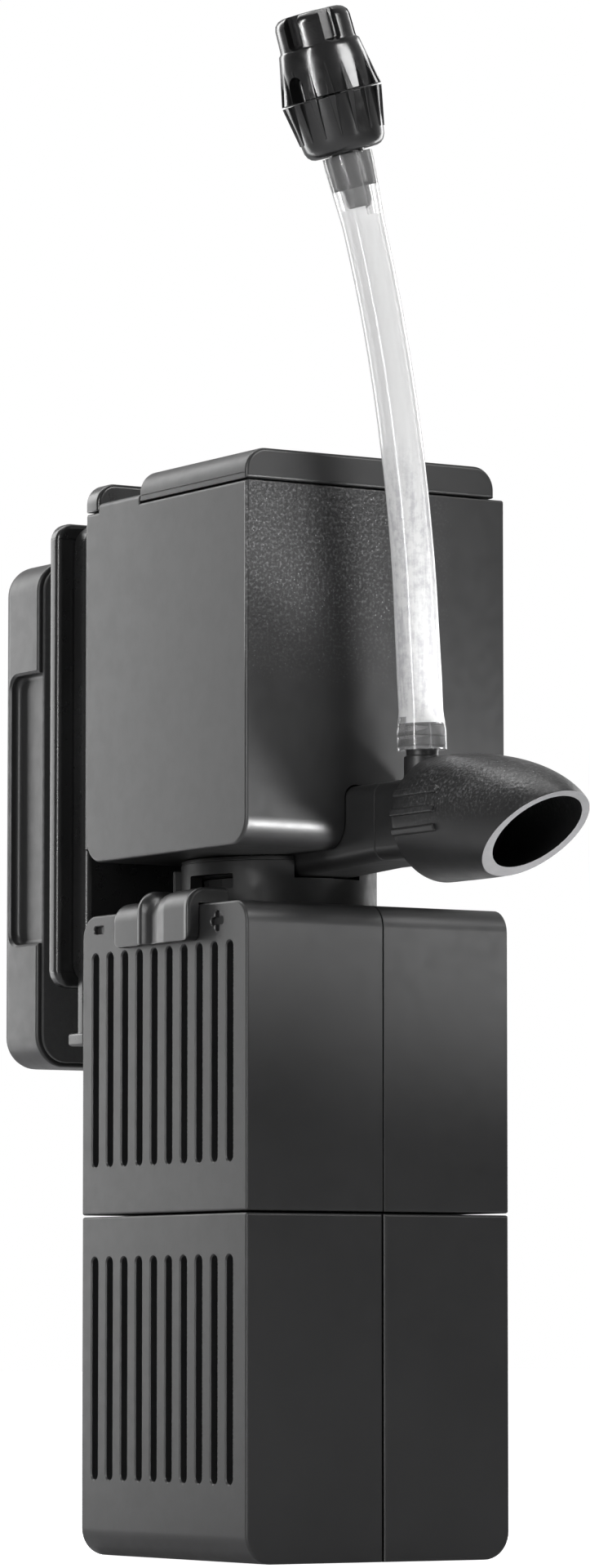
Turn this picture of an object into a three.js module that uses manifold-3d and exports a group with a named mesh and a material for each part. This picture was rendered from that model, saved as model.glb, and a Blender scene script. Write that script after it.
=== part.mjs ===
// Internal aquarium power filter: pump head on two stacked media boxes, with a swivelling outlet nozzle,
// an air line with a twist valve, and a magnetic pane holder behind. Millimetres, +Z up, nozzle towards -Y.
import * as THREE from 'three';
import { mergeVertices } from 'three/addons/utils/BufferGeometryUtils.js';
import Module from 'manifold-3d';

const wasm = await Module();
wasm.setup();

// ---------------------------------------------------------------- driving dimensions

const GAP = 0.3; // clearance between pieces that touch
const SEGMENTS = 24; // facets round a full circle
const RUNNING_SEGMENTS = 32; // facets round a running fit

const BOX = {
  halfX: 33, halfY: 34.6, wall: 1.8, split: 1, // split: X of the joint between the two half shells
  lower: { bottom: 0, top: 73.3, slots: [16.5, 64.5] },
  upper: { bottom: 73.7, top: 139, slots: [84.1, 130.6] },
  edgeRadius: 5, footRadius: 6,
};
const SLOT = { count: 10, first: 28.9, pitch: 6.26, width: 2.8, corner: 1.39 };
const PORT = { y: 6, radius: 17 }; // water way through the boxes, on the pump's axis
const RISER = { outer: 9, inner: 7.5, rows: 2 };
const FOAM = { halfX: 30.6, halfY: 32.2, lower: [2.4, 69.4], upper: [77.8, 134.2] };

const PUMP = { halfX: 32.8, halfY: 34, bottom: 150.7, top: 228, wall: 2.2, roof: 2, radius: 6 };
const LID = { left: -32.8, right: 30.2, front: -34, back: 10.7, bottom: 228.3, top: 235, radius: 5 };
const DECK = { front: 10.9, back: 28.4, top: 230 };
const COVER = { front: 28.6, back: 34, bottom: 228.3, top: 234.6 };
const GLAND = { x: 20, z: 231.6, radius: 3, socket: 1.6, end: 38.1 };

const COLLAR = { radius: 21.4, bore: 18.5, bottom: 139.3, top: 150.4, web: 2 };
const VOLUTE = { radius: 18.2, chamber: 15.6, bottom: 146.3, roof: 163.5, top: 166 };
const ROTOR = { radius: 9, well: 9.8, bottom: 168.9, top: 204 };
const SHAFT = { radius: 1.25, bore: 1.3, bottom: 144.9, top: 210.2 };
const MOTOR = { halfX: 26, front: -18, back: 30, bottom: 168.4, top: 212, wellTop: 206 };

const DUCT = { halfX: 8, bottom: 147.4, neckBottom: 146, top: 164, corner: 2.8, joint: -45.2, bore: 6.2 };
const AXIS_Z = 155.3; // height of the outlet's axis
const SPIGOT = { radius: 9, start: -59.3, end: -67.5, lip: 9.6 };
const NOZZLE = {
  rear: -59.7, radius: 13.3, length: 51.4, power: 2.5, droop: 4.1, bore: 9.08, shoulder: 6,
  wall: 1.7, cutAt: 42.87, cutNormal: [0, -1, -1.64], ribs: [-14.5, 3, 21], ribLength: 16,
};
const NIPPLE = { y: -51.5, radius: 3.4, top: 170.2 };

// the air line's centreline, (x, z) in the plane y = NIPPLE.y
const HOSE = {
  radius: 4.6, sides: 12, steps: 8,
  route: [[0, 170.5], [-0.5, 182], [-1.3, 196], [-2.2, 210], [-4, 227], [-6.8, 246], [-10.3, 264],
    [-14.5, 281], [-18.7, 295.9]],
};
const VALVE = {
  foot: [-18.8, 296.3], tilt: 17.5, split: 12.3, shoulder: 23.2, top: 30.4, // heights along its own axis
  belly: 9.8, end: 8.9, crown: 8.4, ribs: 16, ribHeight: 0.45, lobes: 6, stem: 2.2,
};

const RAIL = { halfX: 30.6, front: 34.3, back: 38.2, bottom: 154, top: 228.3, radius: 3.5 };
const CARRIAGE = { halfX: 30, front: 38.5, back: 44.3, bottom: 124.6, top: 227, corner: 5 };
const PLATE = { halfX: 33.9, front: 44.6, back: 48.4, bottom: 124.1, top: 227.5, corner: 4, edge: 1 };
const BLOCK = { halfX: 33, front: 54.9, back: 72, bottom: 107, top: 220.3, corner: 7, edge: 4.5 };
const GRIP = { depth: 2.6, back: 67.8, bottom: 134.5, top: 195 };
const PAD = { front: 53.7, back: 54.6, inset: 1 };
const MAGNET = { inner: 4, outer: 22, bottom: 142, top: 208 };

const SLIDER = { front: -15.4, step: 6.4, back: 18, bottom: 131.2, thickness: 1.6, bump: 3, reach: -26 };

// ---------------------------------------------------------------- solid helpers

/** Closed manifold from a three geometry. */
function solid(geometry) {
  const bare = new THREE.BufferGeometry();
  bare.setAttribute('position', geometry.getAttribute('position').clone());
  if (geometry.index) {
    bare.setIndex(geometry.index.clone());
  }
  const merged = mergeVertices(bare, 1e-4);
  return new wasm.Manifold(new wasm.Mesh({
    numProp: 3,
    vertProperties: new Float32Array(merged.getAttribute('position').array),
    triVerts: new Uint32Array(merged.index.array),
  }));
}

/** Three geometry from a manifold. */
function geometryOf(body) {
  const mesh = body.getMesh();
  const geometry = new THREE.BufferGeometry();
  geometry.setAttribute('position', new THREE.BufferAttribute(new Float32Array(mesh.vertProperties), 3));
  geometry.setIndex(new THREE.BufferAttribute(new Uint32Array(mesh.triVerts), 1));
  geometry.computeVertexNormals();
  return geometry;
}

function union(...bodies) {
  return bodies.reduce((whole, body) => whole.add(body));
}

function cut(body, ...tools) {
  return tools.reduce((rest, tool) => rest.subtract(tool), body);
}

function box(x0, x1, y0, y1, z0, z1) {
  const geometry = new THREE.BoxGeometry(x1 - x0, y1 - y0, z1 - z0);
  geometry.translate((x0 + x1) / 2, (y0 + y1) / 2, (z0 + z1) / 2);
  return solid(geometry);
}

/** Upright solid of revolution; profile is a list of [radius, z] that starts and ends on the axis. */
function turned(profile, x = 0, y = 0, segments = SEGMENTS) {
  const points = profile.map(([radius, z]) => new THREE.Vector2(radius, z));
  const geometry = new THREE.LatheGeometry(points, segments);
  geometry.rotateX(Math.PI / 2);
  geometry.translate(x, y, 0);
  return solid(geometry);
}

function disc(radius, z0, z1, x = 0, y = 0, segments = SEGMENTS) {
  return turned([[0, z0], [radius, z0], [radius, z1], [0, z1]], x, y, segments);
}

function tube(outer, inner, z0, z1, x = 0, y = 0, segments = SEGMENTS) {
  const profile = [[inner, z0], [outer, z0], [outer, z1], [inner, z1], [inner, z0]];
  return turned(profile, x, y, segments);
}

/** Cylinder along Y. */
function discY(radius, y0, y1, x, z, segments = SEGMENTS) {
  const geometry = new THREE.CylinderGeometry(radius, radius, y1 - y0, segments);
  geometry.translate(x, (y0 + y1) / 2, z);
  return solid(geometry);
}

function torus(radius, thickness, z, x, y) {
  const geometry = new THREE.TorusGeometry(radius, thickness, 8, 24);
  geometry.translate(x, y, z);
  return solid(geometry);
}

/** Rectangle whose corner radii are given as [lower left, lower right, upper right, upper left]. */
function roundedShape(u0, u1, v0, v1, [ll, lr, ur, ul]) {
  const shape = new THREE.Shape();
  const corner = (u, v, radius, start) => {
    if (radius > 0) {
      shape.absarc(u, v, radius, start, start + Math.PI / 2, false);
    } else {
      shape.lineTo(u, v);
    }
  };
  shape.moveTo(u0 + ll, v0);
  corner(u1 - lr, v0 + lr, lr, -Math.PI / 2);
  corner(u1 - ur, v1 - ur, ur, 0);
  corner(u0 + ul, v1 - ul, ul, Math.PI / 2);
  corner(u0 + ll, v0 + ll, ll, Math.PI);
  return shape;
}

const ALONG_X = new THREE.Matrix4().set(0, 0, 1, 0, 1, 0, 0, 0, 0, 1, 0, 0, 0, 0, 0, 1);
const ALONG_Y = new THREE.Matrix4().set(1, 0, 0, 0, 0, 0, -1, 0, 0, 1, 0, 0, 0, 0, 0, 1);
const ALONG_Z = new THREE.Matrix4();

/** Prism from a shape; along X the shape lies in (y, z), along Y in (x, z), along Z in (x, y). */
function prism(shape, matrix, start, end, curveSegments = 6) {
  const geometry = new THREE.ExtrudeGeometry(shape, {
    depth: end - start, bevelEnabled: false, curveSegments,
  });
  const towards = matrix === ALONG_Y ? -end : start;
  geometry.translate(0, 0, towards);
  geometry.applyMatrix4(matrix);
  return solid(geometry);
}

/** Closed skin over equal rings of points, each end closed by a fan. */
function loft(rings) {
  const count = rings[0].length;
  const points = rings.flat();
  const index = [];
  for (let i = 0; i + 1 < rings.length; i += 1) {
    for (let j = 0; j < count; j += 1) {
      const a = i * count + j;
      const b = i * count + ((j + 1) % count);
      index.push(a, b, a + count, b, b + count, a + count);
    }
  }
  const last = (rings.length - 1) * count;
  for (let j = 1; j + 1 < count; j += 1) {
    index.push(0, j + 1, j, last, last + j, last + j + 1);
  }
  const geometry = new THREE.BufferGeometry().setFromPoints(points);
  geometry.setIndex(index);
  return solid(geometry);
}

/** Ring of a rounded rectangle in the plane at y, ordered so that a loft towards +Y faces out. */
function ringXZ(y, halfX, z0, z1, corner) {
  const shape = roundedShape(-halfX, halfX, z0, z1, [corner, corner, corner, corner]);
  const outline = shape.getPoints(5);
  if (outline[0].distanceTo(outline[outline.length - 1]) < 1e-6) {
    outline.pop();
  }
  return outline.reverse().map((point) => new THREE.Vector3(point.x, y, point.y));
}

// ---------------------------------------------------------------- media boxes

/** Outside of a media box: ends flat, upper edges along X rounded, the foot rounded along Y. */
function boxOutside(level, inset) {
  const topRadius = level.roundTop ? BOX.edgeRadius - inset : 0.6;
  const footRadius = level.roundFoot ? BOX.footRadius - inset : 0.6;
  const side = roundedShape(-BOX.halfY + inset, BOX.halfY - inset, level.bottom + inset, level.top - inset,
    [0.6, 0.6, topRadius, topRadius]);
  const front = roundedShape(-BOX.halfX + inset, BOX.halfX - inset, level.bottom + inset, level.top - inset,
    [footRadius, footRadius, 0.3, 0.3]);
  const along = prism(side, ALONG_X, -BOX.halfX + inset, BOX.halfX - inset);
  return along.intersect(prism(front, ALONG_Y, -BOX.halfY + inset, BOX.halfY - inset));
}

/** Ten upright round-ended intake slots through the left wall. */
function intakeSlots([z0, z1]) {
  const half = SLOT.width / 2;
  const slots = [];
  for (let i = 0; i < SLOT.count; i += 1) {
    const y = SLOT.first - i * SLOT.pitch;
    const shape = roundedShape(y - half, y + half, z0, z1, Array(4).fill(SLOT.corner));
    slots.push(prism(shape, ALONG_X, -BOX.halfX - 1, -BOX.halfX + BOX.wall + 1, 2));
  }
  return slots;
}

/** Recessed minus and plus beside the flow slider. */
function flowMarks() {
  const depth = -BOX.halfX + 0.5;
  const out = -BOX.halfX - 1;
  return [
    prism(roundedShape(24.9, 29.7, 135, 136.5, [0.7, 0.7, 0.7, 0.7]), ALONG_X, out, depth, 3),
    union(box(out, depth, -24.6, -20.2, 134.3, 135.7), box(out, depth, -23.1, -21.7, 132.8, 137.2)),
  ];
}

function mediaBox(level, ports, extras) {
  const shell = boxOutside(level, 0).subtract(boxOutside(level, BOX.wall));
  const holes = ports.map(([z0, z1]) => disc(PORT.radius, z0, z1, 0, PORT.y));
  return cut(shell, ...intakeSlots(level.slots), ...holes, ...extras);
}

function leftHalf(shell) {
  return shell.intersect(box(-50, BOX.split - GAP / 2, -50, 50, -10, 160));
}

function rightHalf(shell) {
  return shell.intersect(box(BOX.split + GAP / 2, 50, -50, 50, -10, 160));
}

function upperBox() {
  const level = { ...BOX.upper, roundTop: true, roundFoot: false };
  const sliderSlot = box(-29.2, -26.8, -12, 14, level.top - 3, level.top + 1);
  return mediaBox(level, [[level.bottom - 1, level.bottom + 3], [level.top - 3, level.top + 1]],
    [sliderSlot, ...flowMarks()]);
}

function lowerBox() {
  const level = { ...BOX.lower, roundTop: false, roundFoot: true };
  return mediaBox(level, [[level.top - 3, level.top + 1]], []);
}

function sponge([z0, z1]) {
  const block = box(-FOAM.halfX, FOAM.halfX, -FOAM.halfY, FOAM.halfY, z0, z1);
  return block.subtract(disc(RISER.outer + 0.6, z0 - 1, z1 + 1, 0, PORT.y));
}

/** Foam of the lower box, cut away along the rounded foot. */
function lowerSponge() {
  const radius = BOX.footRadius - BOX.wall;
  const shape = roundedShape(-FOAM.halfX, FOAM.halfX, ...FOAM.lower, [radius, radius, 0.3, 0.3]);
  return sponge(FOAM.lower).intersect(prism(shape, ALONG_Y, -FOAM.halfY - 1, FOAM.halfY + 1));
}

/** Perforated pipe up the middle of a sponge. */
function riser([z0, z1]) {
  const pipe = tube(RISER.outer, RISER.inner, z0, z1, 0, PORT.y);
  const windows = [];
  const pitch = (z1 - z0) / RISER.rows;
  for (let row = 0; row < RISER.rows; row += 1) {
    const low = z0 + row * pitch + 4;
    const high = z0 + (row + 1) * pitch - 4;
    windows.push(box(-12, 12, PORT.y - 2, PORT.y + 2, low, high));
    windows.push(box(-2, 2, PORT.y - 12, PORT.y + 12, low, high));
  }
  return cut(pipe, ...windows);
}

/** Flanged ring that joins the two boxes. */
function couplingRing() {
  const inner = 14.5;
  const outer = PORT.radius - GAP;
  const floor = BOX.upper.bottom + BOX.wall + GAP;
  return turned([[inner, 69.8], [outer, 69.8], [outer, floor], [19, floor], [19, floor + 1.6],
    [inner, floor + 1.6], [inner, 69.8]], 0, PORT.y);
}

/** Slider hooked over the upper box's left edge; a thumb bump with a grooved face on its front part. */
function flowSlider() {
  const inner = -BOX.halfX - GAP;
  const roofZ = BOX.upper.top + GAP;
  const side = roundedShape(SLIDER.front, SLIDER.back, SLIDER.bottom, roofZ + 1.7, [1.5, 1.5, 1.2, 1.2]);
  const plate = prism(side, ALONG_X, inner - SLIDER.thickness, inner);
  const bumpSide = roundedShape(SLIDER.front, SLIDER.step, SLIDER.bottom, roofZ + 3.6, [1.5, 1.5, 2.5, 2.5]);
  const bump = prism(bumpSide, ALONG_X, inner - SLIDER.bump, SLIDER.reach - 2);
  const roof = box(inner - 0.1, SLIDER.reach, SLIDER.front + 1.2, SLIDER.back - 1.2, roofZ, roofZ + 1.7);
  const tongue = box(-28.6, -27.4, -6, 8, 134.5, roofZ + 1);
  const hollow = box(inner, SLIDER.reach, -50, 50, 100, roofZ);
  const groove = prism(roundedShape(1.4, 5.2, 134, 150, [1.5, 1.5, 0, 0]), ALONG_X, -50, inner - 1.4);
  return union(cut(union(plate, bump, roof), hollow, groove), tongue);
}

// ---------------------------------------------------------------- pump head

function pumpHousing() {
  const side = roundedShape(-PUMP.halfY, PUMP.halfY, PUMP.bottom, PUMP.top,
    [PUMP.radius, PUMP.radius, 0, 0]);
  const deck = box(-PUMP.halfX, PUMP.halfX, DECK.front, DECK.back, PUMP.top - 1, DECK.top);
  const inset = PUMP.wall;
  const hollow = prism(
    roundedShape(-PUMP.halfY + inset, PUMP.halfY - inset, PUMP.bottom + inset, PUMP.top - PUMP.roof,
      [PUMP.radius - inset, PUMP.radius - inset, 0, 0]),
    ALONG_X, -PUMP.halfX + inset, PUMP.halfX - inset,
  );
  const opening = box(-28.4, 28.4, -30.4, 7.6, PUMP.top - 4, PUMP.top + 1);
  const neckHole = disc(VOLUTE.radius + GAP, PUMP.bottom - 1, PUMP.bottom + 4, 0, PORT.y);
  const notch = roundedShape(-DUCT.halfX - GAP, DUCT.halfX + GAP, PUMP.bottom - 2, DUCT.top + GAP,
    [0, 0, DUCT.corner, DUCT.corner]);
  const body = union(prism(side, ALONG_X, -PUMP.halfX, PUMP.halfX), deck);
  return cut(body, hollow, opening, neckHole, prism(notch, ALONG_Y, -PUMP.halfY - 1, PORT.y));
}

function pumpLid() {
  const profile = roundedShape(LID.left, LID.right, LID.bottom, LID.top, [0, 0, LID.radius, LID.radius]);
  const inside = roundedShape(LID.left + 2, LID.right - 2, LID.bottom - 1, LID.top - 2, [0, 0, 3, 3]);
  const cap = prism(profile, ALONG_Y, LID.front, LID.back);
  const skirt = cut(box(-28, 28, -30, 7.2, 225.2, LID.bottom + 3),
    box(-26.4, 26.4, -28.4, 5.6, 224, LID.bottom + 2));
  const hollow = prism(inside, ALONG_Y, LID.front + 2, LID.back - 2);
  return union(cap.subtract(hollow), skirt, box(-28, 28, -30, 7.2, LID.bottom + 2, LID.top - 1));
}

function cableCover() {
  const profile = roundedShape(-PUMP.halfX, PUMP.halfX, COVER.bottom, COVER.top, [0, 0, 4.5, 4.5]);
  const cavity = box(-27, 27, COVER.front + 1.4, COVER.back - 1.4, COVER.bottom - 1, COVER.top - 1.6);
  return prism(profile, ALONG_Y, COVER.front, COVER.back).subtract(cavity);
}

/** Cable inlet: flange, waist and blind socket where the supply cable would enter. */
function cableGland() {
  const start = COVER.back + GAP;
  const flange = discY(GLAND.radius, start, start + 1.4, GLAND.x, GLAND.z);
  const sleeve = discY(GLAND.radius - 0.6, start + 1.2, GLAND.end, GLAND.x, GLAND.z);
  return union(flange, sleeve).subtract(discY(GLAND.socket, start + 0.8, GLAND.end + 1, GLAND.x, GLAND.z));
}

function motorBlock() {
  const block = box(-MOTOR.halfX, MOTOR.halfX, MOTOR.front, MOTOR.back, MOTOR.bottom, MOTOR.top);
  const well = disc(ROTOR.well, MOTOR.bottom - 1, MOTOR.wellTop, 0, PORT.y);
  return cut(block, well, disc(3.6, MOTOR.wellTop - 1, MOTOR.top - 1, 0, PORT.y));
}

function rotorMagnet() {
  return tube(ROTOR.radius, 3.8, ROTOR.bottom, ROTOR.top, 0, PORT.y);
}

/** Six straight blades on a hub whose sleeve carries the magnet. */
function impeller() {
  const hub = disc(4.4, 148.5, 160.4, 0, PORT.y);
  const sleeve = disc(3.5, 160, ROTOR.top + 0.6, 0, PORT.y);
  const backPlate = disc(9, 159, 160.6, 0, PORT.y);
  const blades = [];
  for (let i = 0; i < 6; i += 1) {
    const blade = new THREE.BoxGeometry(10.6, 1.3, 11);
    blade.translate(8.9, 0, 154.5);
    blade.rotateZ((i * Math.PI) / 3);
    blade.translate(0, PORT.y, 0);
    blades.push(solid(blade));
  }
  const bore = disc(SHAFT.bore, 140, 210, 0, PORT.y, RUNNING_SEGMENTS);
  return union(hub, sleeve, backPlate, ...blades).subtract(bore);
}

function ductRing(y, low, grow = 0) {
  return ringXZ(y, DUCT.halfX + grow, low - grow, DUCT.top + grow, DUCT.corner);
}

/** Impeller chamber with the duct that leads under the housing to its front. */
function voluteDuct() {
  const can = disc(VOLUTE.radius, VOLUTE.bottom, VOLUTE.top, 0, PORT.y);
  const front = loft([ductRing(DUCT.joint, DUCT.bottom), ductRing(-12.3, DUCT.neckBottom)]);
  const root = loft([ductRing(-14, VOLUTE.bottom), ductRing(0, VOLUTE.bottom)]);
  const chamber = disc(VOLUTE.chamber, VOLUTE.bottom - 1, VOLUTE.roof, 0, PORT.y);
  const rotorHole = disc(10.2, VOLUTE.roof - 1, VOLUTE.top + 1, 0, PORT.y);
  const bore = discY(DUCT.bore, DUCT.joint - 1, PORT.y - 8, 0, AXIS_Z);
  return cut(union(can, front, root), chamber, rotorHole, bore);
}

/** Round plate under the impeller with six intake holes and a seat for the lower bush. */
function impellerCover() {
  const plate = disc(17.9, 143.6, 146, 0, PORT.y);
  const hub = disc(3.6, 143.6, 147.6, 0, PORT.y);
  const holes = [];
  for (let i = 0; i < 6; i += 1) {
    const angle = (i * Math.PI) / 3;
    const x = 9 * Math.cos(angle);
    const y = PORT.y + 9 * Math.sin(angle);
    holes.push(disc(3.4, 142, 148, x, y, 12));
  }
  return cut(union(plate, hub), disc(2.6, 144.6, 149, 0, PORT.y), ...holes);
}

/** Bayonet neck between pump and boxes. */
function neckCollar() {
  const web = COLLAR.bottom + COLLAR.web;
  const ring = turned([[14.2, 136.4], [PORT.radius - GAP, 136.4], [PORT.radius - GAP, COLLAR.bottom],
    [COLLAR.radius, COLLAR.bottom], [COLLAR.radius, COLLAR.top], [COLLAR.bore, COLLAR.top],
    [COLLAR.bore, web], [14.2, web], [14.2, 136.4]], 0, PORT.y, RUNNING_SEGMENTS);
  const lug = new THREE.BoxGeometry(3.2, 4, 6.4);
  lug.translate(COLLAR.radius + 0.1, 0, 145.4);
  const lugs = [148, 32].map((degrees) => {
    const turnedLug = lug.clone().rotateZ(THREE.MathUtils.degToRad(degrees));
    return solid(turnedLug.translate(0, PORT.y, 0));
  });
  const notch = box(-DUCT.halfX - GAP, DUCT.halfX + GAP, -20, -8, DUCT.neckBottom - GAP, COLLAR.top + 1);
  const windows = [box(-23, -15, -4.9, 8.1, 143.6, 146.8), box(15, 23, 3.9, 16.9, 143.6, 146.8)];
  return cut(union(ring, ...lugs), notch, ...windows);
}

// ---------------------------------------------------------------- outlet

/** Duct piece with the air nipple on top and a round spigot for the nozzle. */
function outletAdapter() {
  const start = DUCT.joint - GAP;
  const duct = loft([ductRing(SPIGOT.start, DUCT.bottom), ductRing(start, DUCT.bottom)]);
  const spigot = discY(SPIGOT.radius, SPIGOT.end, SPIGOT.start + 1, 0, AXIS_Z, RUNNING_SEGMENTS);
  const lip = discY(SPIGOT.lip, SPIGOT.end, SPIGOT.end + 1.4, 0, AXIS_Z, RUNNING_SEGMENTS);
  const nipple = disc(NIPPLE.radius, DUCT.top - 1, NIPPLE.top, 0, NIPPLE.y, 16);
  const bore = discY(DUCT.bore, SPIGOT.end - 1, start + 1, 0, AXIS_Z);
  const airHole = disc(1.5, AXIS_Z, NIPPLE.top + 1, 0, NIPPLE.y, 12);
  return cut(union(duct, spigot, lip, nipple), bore, airHole);
}

/** Blunt bullet along -Y that droops towards its tip; first and last are shares of its length. */
function bullet(radius, length, first, last, rings) {
  const sections = [];
  for (let i = 0; i <= rings; i += 1) {
    const s = first + ((last - first) * i) / rings;
    const r = radius * Math.sqrt(Math.max(1 - s ** NOZZLE.power, 0));
    const centre = new THREE.Vector3(0, NOZZLE.rear - s * length, AXIS_Z - NOZZLE.droop * s * s);
    const section = [];
    for (let j = 0; j < SEGMENTS; j += 1) {
      const angle = (2 * Math.PI * j) / SEGMENTS;
      section.push(new THREE.Vector3(r * Math.cos(angle), 0, r * Math.sin(angle)).add(centre));
    }
    sections.push(section);
  }
  return loft(sections);
}

/** Half space beyond the nozzle's slanted mouth, as a large box. */
function mouthCut() {
  const normal = new THREE.Vector3(...NOZZLE.cutNormal).normalize();
  const size = 120;
  const geometry = new THREE.BoxGeometry(size, size, size);
  geometry.translate(0, 0, size / 2);
  geometry.applyQuaternion(new THREE.Quaternion().setFromUnitVectors(new THREE.Vector3(0, 0, 1), normal));
  geometry.translate(0, NOZZLE.rear - NOZZLE.cutAt, AXIS_Z);
  return solid(geometry);
}

/** Grip ribs along the rear of the nozzle, three on each side. */
function gripRibs() {
  const bars = [];
  for (const side of [0, 180]) {
    for (const angle of NOZZLE.ribs) {
      const bar = new THREE.BoxGeometry(2, NOZZLE.ribLength, 1.7);
      bar.translate(NOZZLE.radius - 0.55, NOZZLE.rear - NOZZLE.ribLength / 2, 0);
      bar.rotateY(THREE.MathUtils.degToRad(side + 180 + (side ? -angle : angle)));
      bars.push(solid(bar.translate(0, 0, AXIS_Z)));
    }
  }
  return bars;
}

function nozzle() {
  const outside = bullet(NOZZLE.radius, NOZZLE.length, 0, 0.98, 9);
  const share = NOZZLE.shoulder / NOZZLE.length;
  const inside = bullet(NOZZLE.radius - NOZZLE.wall, NOZZLE.length - 2, share, 0.98, 6);
  const bore = discY(NOZZLE.bore, NOZZLE.rear - NOZZLE.shoulder - 1, NOZZLE.rear + 1, 0, AXIS_Z,
    RUNNING_SEGMENTS);
  return cut(union(outside, ...gripRibs()), inside, bore, mouthCut());
}

// ---------------------------------------------------------------- air line

/** Clear air hose, a plain rod along its route. */
function airHose() {
  const points = HOSE.route.map(([x, z]) => new THREE.Vector3(x, NIPPLE.y, z));
  const section = new THREE.Shape();
  for (let i = 0; i < HOSE.sides; i += 1) {
    const angle = (2 * Math.PI * i) / HOSE.sides;
    const method = i === 0 ? 'moveTo' : 'lineTo';
    section[method](HOSE.radius * Math.cos(angle), HOSE.radius * Math.sin(angle));
  }
  const path = new THREE.CatmullRomCurve3(points, false, 'centripetal');
  return solid(new THREE.ExtrudeGeometry(section, { steps: HOSE.steps, extrudePath: path }));
}

/** Stands a solid made round the Z axis on the hose's end, leaning with it. */
function onValveAxis(body) {
  const [x, z] = VALVE.foot;
  return body.rotate([0, -VALVE.tilt, 0]).translate([x, NIPPLE.y, z]);
}

/** Fine ribs round a barrel, each a thin wedge between two heights. */
function barrelRibs(z0, z1, r0, r1) {
  const ribs = [];
  for (let i = 0; i < VALVE.ribs; i += 1) {
    const height = z1 - z0;
    const rib = new THREE.CylinderGeometry(1, 1, height, 4, 1).rotateX(Math.PI / 2);
    const position = rib.getAttribute('position');
    for (let j = 0; j < position.count; j += 1) {
      const top = position.getZ(j) > 0;
      position.setX(j, position.getX(j) * VALVE.ribHeight + (top ? r1 : r0));
      position.setY(j, position.getY(j) * 0.55);
      position.setZ(j, position.getZ(j) + z0 + height / 2);
    }
    ribs.push(solid(rib.rotateZ((2 * Math.PI * (i + 0.5)) / VALVE.ribs)));
  }
  return ribs;
}

/** Fixed lower half of the valve, with the pin that its cap turns on. */
function valveBody() {
  const barrel = turned([[0, 0], [VALVE.end - 2.2, 0], [VALVE.end - 0.6, 0.7], [VALVE.end, 2.4],
    [VALVE.belly, VALVE.split - GAP / 2], [0, VALVE.split - GAP / 2]]);
  const pin = disc(VALVE.stem, VALVE.split - 1, VALVE.shoulder, 0, 0, RUNNING_SEGMENTS);
  const ribs = barrelRibs(4, VALVE.split - GAP / 2, VALVE.end + 0.1, VALVE.belly - 0.1);
  return onValveAxis(union(barrel, pin, ...ribs));
}

/** Turning upper half of the valve with its notched crown and air window. */
function valveCap() {
  const low = VALVE.split + GAP / 2;
  const barrel = turned([[0, low], [VALVE.belly, low], [VALVE.end, VALVE.shoulder - 1],
    [VALVE.end - 0.8, VALVE.shoulder], [VALVE.crown, VALVE.shoulder], [VALVE.crown - 0.3, VALVE.top - 1.2],
    [VALVE.crown - 1.5, VALVE.top], [0, VALVE.top]]);
  const ribs = barrelRibs(low, VALVE.shoulder - 3, VALVE.belly - 0.1, VALVE.end + 0.1);
  const notches = [];
  for (let i = 0; i < VALVE.lobes; i += 1) {
    const notch = new THREE.BoxGeometry(3.4, 2.2, 8);
    notch.translate(VALVE.crown - 0.4, 0, VALVE.shoulder + 4.6);
    notches.push(solid(notch.rotateZ((2 * Math.PI * i) / VALVE.lobes)));
  }
  const window = new THREE.CylinderGeometry(1.9, 1.9, 6, 16);
  window.rotateZ(Math.PI / 2).translate(-VALVE.belly, 0, 0).scale(1, 1, 2.4).translate(0, 0, low);
  const bore = disc(VALVE.stem + 0.08, low - 1, VALVE.shoulder + 0.5, 0, 0, RUNNING_SEGMENTS);
  const airWindow = solid(window.rotateZ(THREE.MathUtils.degToRad(-8)));
  return onValveAxis(cut(union(barrel, ...ribs), bore, airWindow, ...notches));
}

// ---------------------------------------------------------------- pane holder

/** Dovetail section about Y; the solid tongue is smaller than the groove by a gap all round. */
function dovetail(mouthY, mouthHalf, rootY, rootHalf, z0, z1) {
  const shape = new THREE.Shape();
  shape.moveTo(-rootHalf, rootY);
  shape.lineTo(rootHalf, rootY);
  shape.lineTo(mouthHalf, mouthY);
  shape.lineTo(-mouthHalf, mouthY);
  shape.closePath();
  return prism(shape, ALONG_Z, z0, z1);
}

function holderRail() {
  const side = roundedShape(RAIL.front, RAIL.back, RAIL.bottom, RAIL.top, [0, 0, RAIL.radius, 0]);
  const groove = dovetail(RAIL.back + 0.1, 10, 35.8, 12, RAIL.bottom - 1, RAIL.top + 1);
  return prism(side, ALONG_X, -RAIL.halfX, RAIL.halfX).subtract(groove);
}

/** Slab with its outline in (x, z) and its thickness along Y. */
function slab(halfX, z0, z1, corner, y0, y1) {
  const shape = roundedShape(-halfX, halfX, z0, z1, [corner, corner, corner, corner]);
  return prism(shape, ALONG_Y, y0, y1);
}

function magnetPockets(y0, y1, grow) {
  const { inner, outer, bottom, top } = MAGNET;
  return [1, -1].map((side) => {
    const [x0, x1] = side > 0 ? [inner, outer] : [-outer, -inner];
    return box(x0 - grow, x1 + grow, y0 - grow, y1 + grow, bottom - grow, top + grow);
  });
}

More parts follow.
